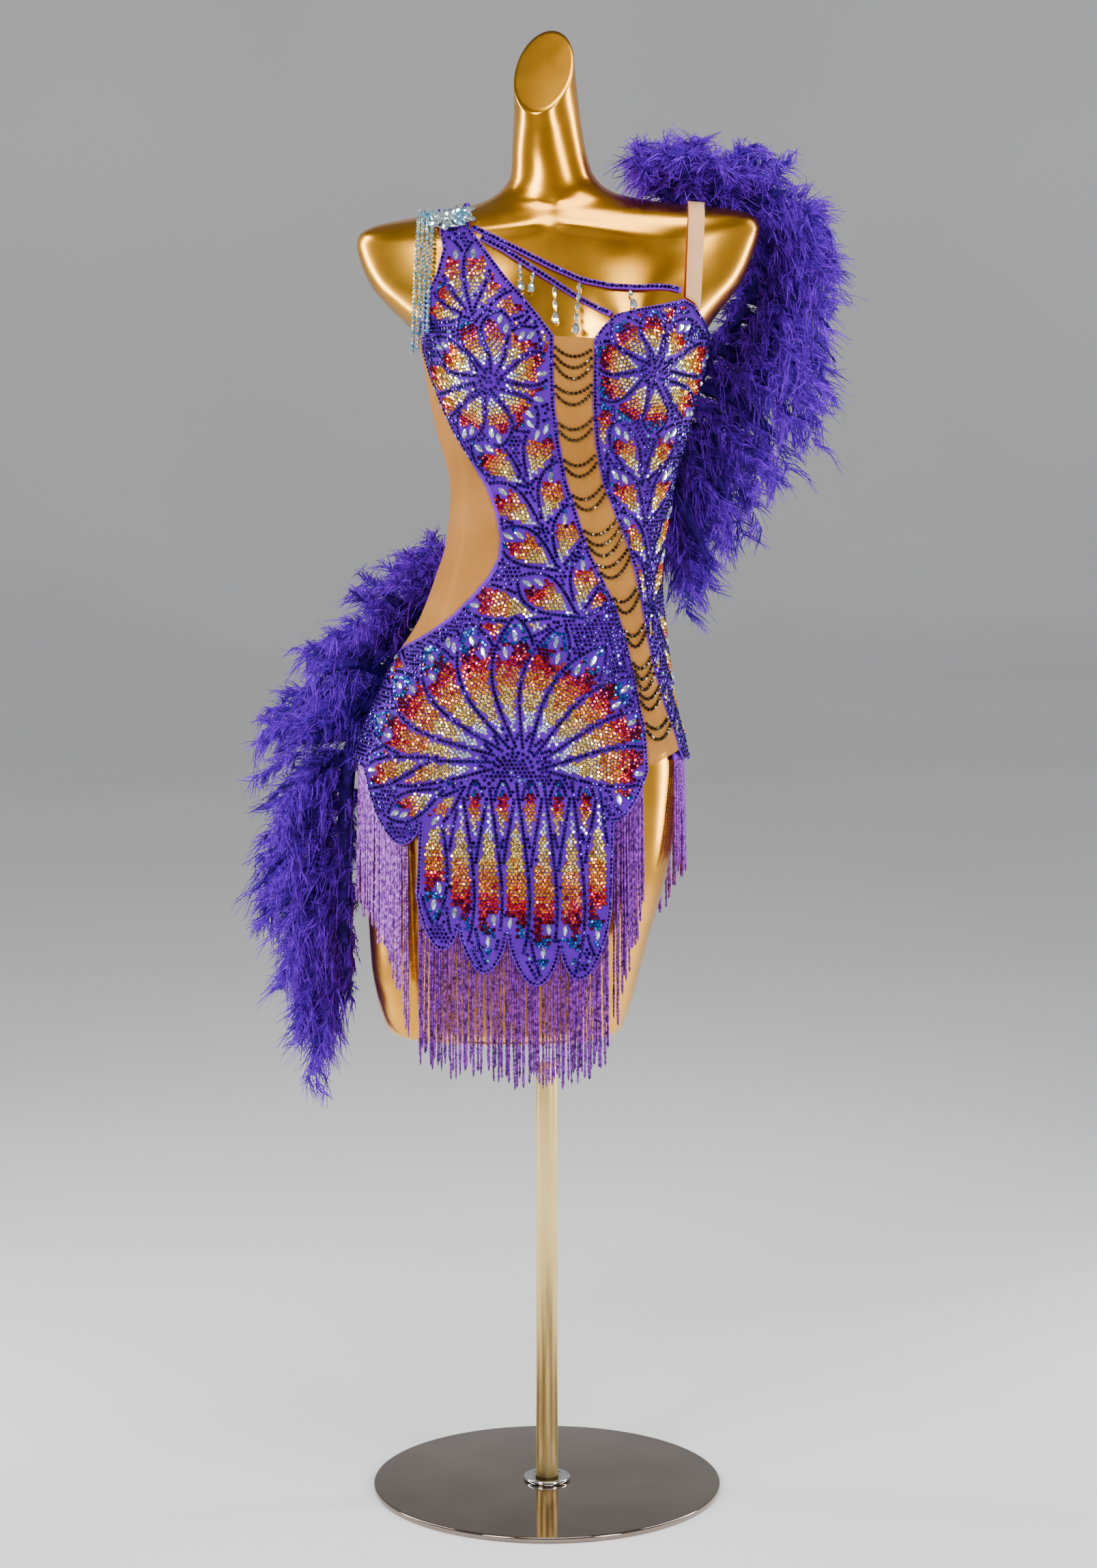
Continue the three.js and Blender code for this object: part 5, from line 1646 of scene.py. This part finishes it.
def flues(name, lines, each, seed, length):
    """Fine barbs in ragged locks along plume spines, as narrow curling ribbons."""
    r = np.random.default_rng(seed)
    plumes = len(lines)
    count = plumes * each
    plume = np.repeat(np.arange(plumes), each)
    lock = r.integers(0, LOCKS, count)
    lock_q = (r.permuted(np.tile(np.linspace(0.04, 1, LOCKS), (plumes, 1)), axis=1))[plume, lock]
    lock_turn = r.uniform(0, 6.28, (plumes, LOCKS))[plume, lock]
    lock_long = r.uniform(0.65, 1.2, (plumes, LOCKS))[plume, lock]
    q = np.clip(lock_q + r.normal(0, 0.035, count), 0, 1)

    def on_spine(at):
        i = np.clip(at * (SPINE_STOPS - 1), 0, SPINE_STOPS - 1.001)
        k = i.astype(int)
        f = (i - k)[:, None]
        return lines[plume, k] * (1 - f) + lines[plume, k + 1] * f

    root, common = on_spine(q), on_spine(lock_q)
    ahead = unit(on_spine(np.clip(q + 0.06, 0, 1)) - on_spine(np.clip(q - 0.06, 0, 1)))
    first, second = in_plane(ahead, lock_turn + r.normal(0, 0.22, count))
    to = unit(ahead * r.uniform(0.55, 0.95, count)[:, None] + first * 0.8)
    long = length * lock_long * (1.1 - 0.35 * q) * r.uniform(0.55, 1.05, count)
    steps = np.linspace(0, 1, FLUE_STOPS)[None, :, None]
    line = root[:, None] * (1 - steps) + common[:, None] * steps
    line = line + to[:, None] * long[:, None, None] * steps
    line[..., 2] -= (long[:, None] ** 2 / 80) * steps[..., 0] ** 2
    sway = r.normal(0, 1, (count, 1, 3)) * (long * 0.09)[:, None, None]
    line += sway * np.sin(steps * np.pi * 1.4)
    hook = second[:, None] * (long * r.normal(0.0, 0.16, count))[:, None, None]
    line += hook * steps**2
    line = clear_of(line, 1.6)
    tangent = unit(np.gradient(line, axis=1))
    flat = unit(np.cross(tangent, unit(r.normal(0, 1, (count, 1, 3)))))
    width = FLUE_WIDE * (1 - 0.72 * steps) * r.uniform(0.7, 1.35, (count, 1, 1))
    points = np.stack([line - flat * width, line + flat * width], 2)
    quad = np.arange(FLUE_STOPS - 1)[:, None] * 2 + np.array([[0, 1, 3, 2]])
    first_point = (np.arange(count) * FLUE_STOPS * 2)[:, None, None]
    faces = (quad[None] + first_point).reshape(-1, 4)
    return make_object(name, points, faces, [FLUE])


def down_body(name, route, seed):
    """The down inside a trim, coloured dark as painted shade under the flues: soft lobes round some
    plumes, and the cord itself.
    """
    turn = np.arange(DOWN_AROUND) * 2 * np.pi / DOWN_AROUND
    lobe = ring_faces(SPINE_STOPS, DOWN_AROUND)
    points, faces, used = [], [], 0
    for line in plume_lines(route, DOWN_LOBES, seed, 8):
        ring = circles(unit(np.gradient(line, axis=0)), DOWN_AROUND)
        rough = 1 + 0.22 * np.sin(turn * 3 + line[:, :1] * 0.21)[..., None]
        rings = line[:, None] + ring * np.array(DOWN_RADII)[:, None, None] * rough
        points.append(clear_of(rings.reshape(-1, 3), 1.2))
        faces.append(lobe + used)
        used += SPINE_STOPS * DOWN_AROUND
    columns = np.array(route, float).T[:3]
    stops = np.linspace(0, len(route) - 1, 10 * len(route))
    steps = np.arange(len(route), dtype=float)
    cord = np.stack([smooth_curve(steps, c)(stops) for c in columns], -1)
    cord = clear_of(cord, CORE + KEEP_OFF)
    ring = circles(unit(np.gradient(cord, axis=0)), DOWN_AROUND)
    points.append((cord[:, None] + ring * (CORE - 0.5)).reshape(-1, 3))
    faces.append(ring_faces(len(cord), DOWN_AROUND) + used)
    return make_object(name, np.concatenate(points), np.concatenate(faces), [DOWN])


def feather_trim(name, route, plumes, seed):
    """One trim: its down, short flues round its roots, and two layers of plumes."""
    settle(down_body(f"{name}_down", route, seed), "indigo_feather", name)
    lines = plume_lines(route, plumes, seed + 1)
    roots = plume_lines(route, ROOT_PLUMES, seed + 5, ROOT_SPREAD, ROOT_SIZE, 180)
    for layer, spines, each, layer_seed, length in (
        ("root", roots, ROOT_FLUES, seed + 4, ROOT_FLUE_LONG),
        ("outer", lines[0::2], PLUME_FLUES, seed + 2, FLUE_LONG),
        ("inner", lines[1::2], PLUME_FLUES, seed + 3, FLUE_LONG),
    ):
        made = flues(f"{name}_flues_{layer}", spines, each, layer_seed, length)
        settle(made, "indigo_feather")


# ---- putting it together ----
settle(display_form(), "form_gold", "display_form")
stand()

FRONT_RIGHT = [
    *NECKLINE,
    *beside(STRIP_RIGHT_SIDE, -SEAM_GAP / 2),
    *FRONT_HEM,
    *beside(WAIST_CUT, SEAM_GAP / 2)[::-1],
    *ARMHOLE,
]
FRONT_LEFT = [
    *beside(STRIP_LEFT_SIDE, SEAM_GAP / 2), [128, 742], [200, 740], [200, 1140], [156, 1150],
    [152, 1161], [149, 1168], [139, 1182], [129, 1187], [114, 1183], [89, 1178], [65, 1172],
    [53, 1160],
]
CENTRE = [
    *beside(STRIP_RIGHT_SIDE, SEAM_GAP / 2),
    [123, 751.5],
    *beside(STRIP_LEFT_SIDE, -SEAM_GAP / 2)[::-1][1:],
]
SIDE = [
    [-121.5, 1162], *beside(WAIST_CUT, -SEAM_GAP / 2)[1:], [-215, 790], [-215, 1140],
    [-132, 1150],
]
BACK_MESH = [
    *BACK_TOP, *beside(BACK_WAIST, -SEAM_GAP / 2), [-210, 1140], [-132, 1150],
    [-121, 1165], [-114, 1200], [-106, 1240], [-105, 1300],
]
BACK_SKIRT = [*beside(BACK_WAIST, SEAM_GAP / 2), *BACK_HEM]


def build_panels():
    """Every cloth panel with its bindings, stones and beads, from front to back."""
    plan = [
        ("front_right", FRONT_RIGHT, -1, VIOLET, "violet_stretch", RIGHT_LEAVES),
        ("front_left", FRONT_LEFT, -1, VIOLET, "violet_stretch", LEFT_LEAVES),
        ("centre_mesh", CENTRE, -1, NUDE, "nude_mesh", None),
        ("side_mesh", SIDE, -1, NUDE, "nude_mesh", None),
        ("back_mesh", BACK_MESH, 1, NUDE, "nude_mesh", None),
        ("back_skirt", BACK_SKIRT, 1, VIOLET, "violet_stretch", None),
    ]
    for name, outline, side, material, slot, leaves in plan:
        loop = to_chart(outline, side)
        cloth = settle(panel(f"{name}_cloth", loop, material), slot, name)
        carried = []
        if material is VIOLET:
            edge = bound_edges(f"{name}_binding", loop, side)
            carried.append(settle(edge, "violet_strap"))
        if leaves:
            stones = decorate(f"{name}_stones", loop, leaves)
            carried += [settle(piece, "crystal") for piece in stones]
        if name == "centre_mesh":
            carried.append(settle(bead_swags(), "crystal"))
        declare_stretched(cloth, loop)


build_panels()
chest_strap("chest_strap_upper_band", UPPER_STRAP, "chest_strap_upper")
chest_strap("chest_strap_lower_band", LOWER_STRAP, "chest_strap_lower")
left_strap()
for number, row in enumerate(DROPS, 1):
    bead_drop(number, *row)
shoulder_jewel()
shoulder_chains()
for row in FRINGES:
    fringe(*row)
feather_trim("feather_shoulder", SHOULDER_ROUTE, SHOULDER_PLUMES, 21)
feather_trim("feather_hip", HIP_ROUTE, HIP_PLUMES, 31)


# ---- stage and light ----
FLOOR_RADIUS, CURVE, BACKDROP_TOP, AROUND = 8200.0, 1800, 8000.0, 96


def stage():
    """A pale floor that curves up into a pale backdrop all round."""
    profile = [(10.0, 0.0), (FLOOR_RADIUS, 0.0)]
    for i in range(1, 17):
        t = math.radians(90 * i / 16)
        profile.append((FLOOR_RADIUS + CURVE * math.sin(t), CURVE - CURVE * math.cos(t)))
    profile.append((FLOOR_RADIUS + CURVE, BACKDROP_TOP))
    points = np.concatenate([np.zeros((AROUND, 3)), *turned_rings(profile, AROUND)])
    faces = ring_faces(len(profile) + 1, AROUND)[:, ::-1]
    material, tree, shader = new_material("studio_paper")
    tones = [(0.3, (0.74, 0.74, 0.75)), (0.7, (0.79, 0.79, 0.8))]
    colour = paint(tree, shader, clouds(tree, 0.8, 2), tones)
    tree.links.new(colour, shader.inputs["Emission Color"])
    finish_of(shader, Roughness=0.85, Emission_Strength=0.13)
    make_object("studio_sweep", points, faces, [material])


def softbox(name, at, aim, wide, tall, watts):
    """A soft white lamp at a place, turned towards another; metres."""
    data = bpy.data.lights.new(name, "AREA")
    data.shape = "RECTANGLE"
    data.size, data.size_y = wide, tall
    data.energy = watts
    lamp = bpy.data.objects.new(name, data)
    lamp.location = at
    lamp.rotation_euler = (Vector(aim) - Vector(at)).to_track_quat("-Z", "Y").to_euler()
    bpy.context.scene.collection.objects.link(lamp)


def lights():
    """Five soft lamps round the form, and a dim even sky."""
    softbox("key", (-1.7, -2.4, 2.3), (0, 0, 1.0), 0.9, 1.8, 98)
    softbox("fill", (1.9, -2.2, 1.5), (0, 0, 0.9), 0.7, 1.9, 56)
    softbox("left_strip", (-1.5, 0.3, 1.2), (0, 0, 0.95), 0.25, 1.9, 30)
    softbox("right_strip", (1.5, 0.4, 1.2), (0, 0, 0.95), 0.25, 1.9, 30)
    softbox("top", (0.2, -0.6, 3.1), (0, 0, 1.0), 1.4, 1.0, 38)
    world = bpy.data.worlds.new("studio")
    bpy.context.scene.world = world
    world.use_nodes = True
    back = world.node_tree.nodes["Background"]
    back.inputs[0].default_value = (0.85, 0.85, 0.85, 1)
    back.inputs[1].default_value = 0.22


stage()
lights()
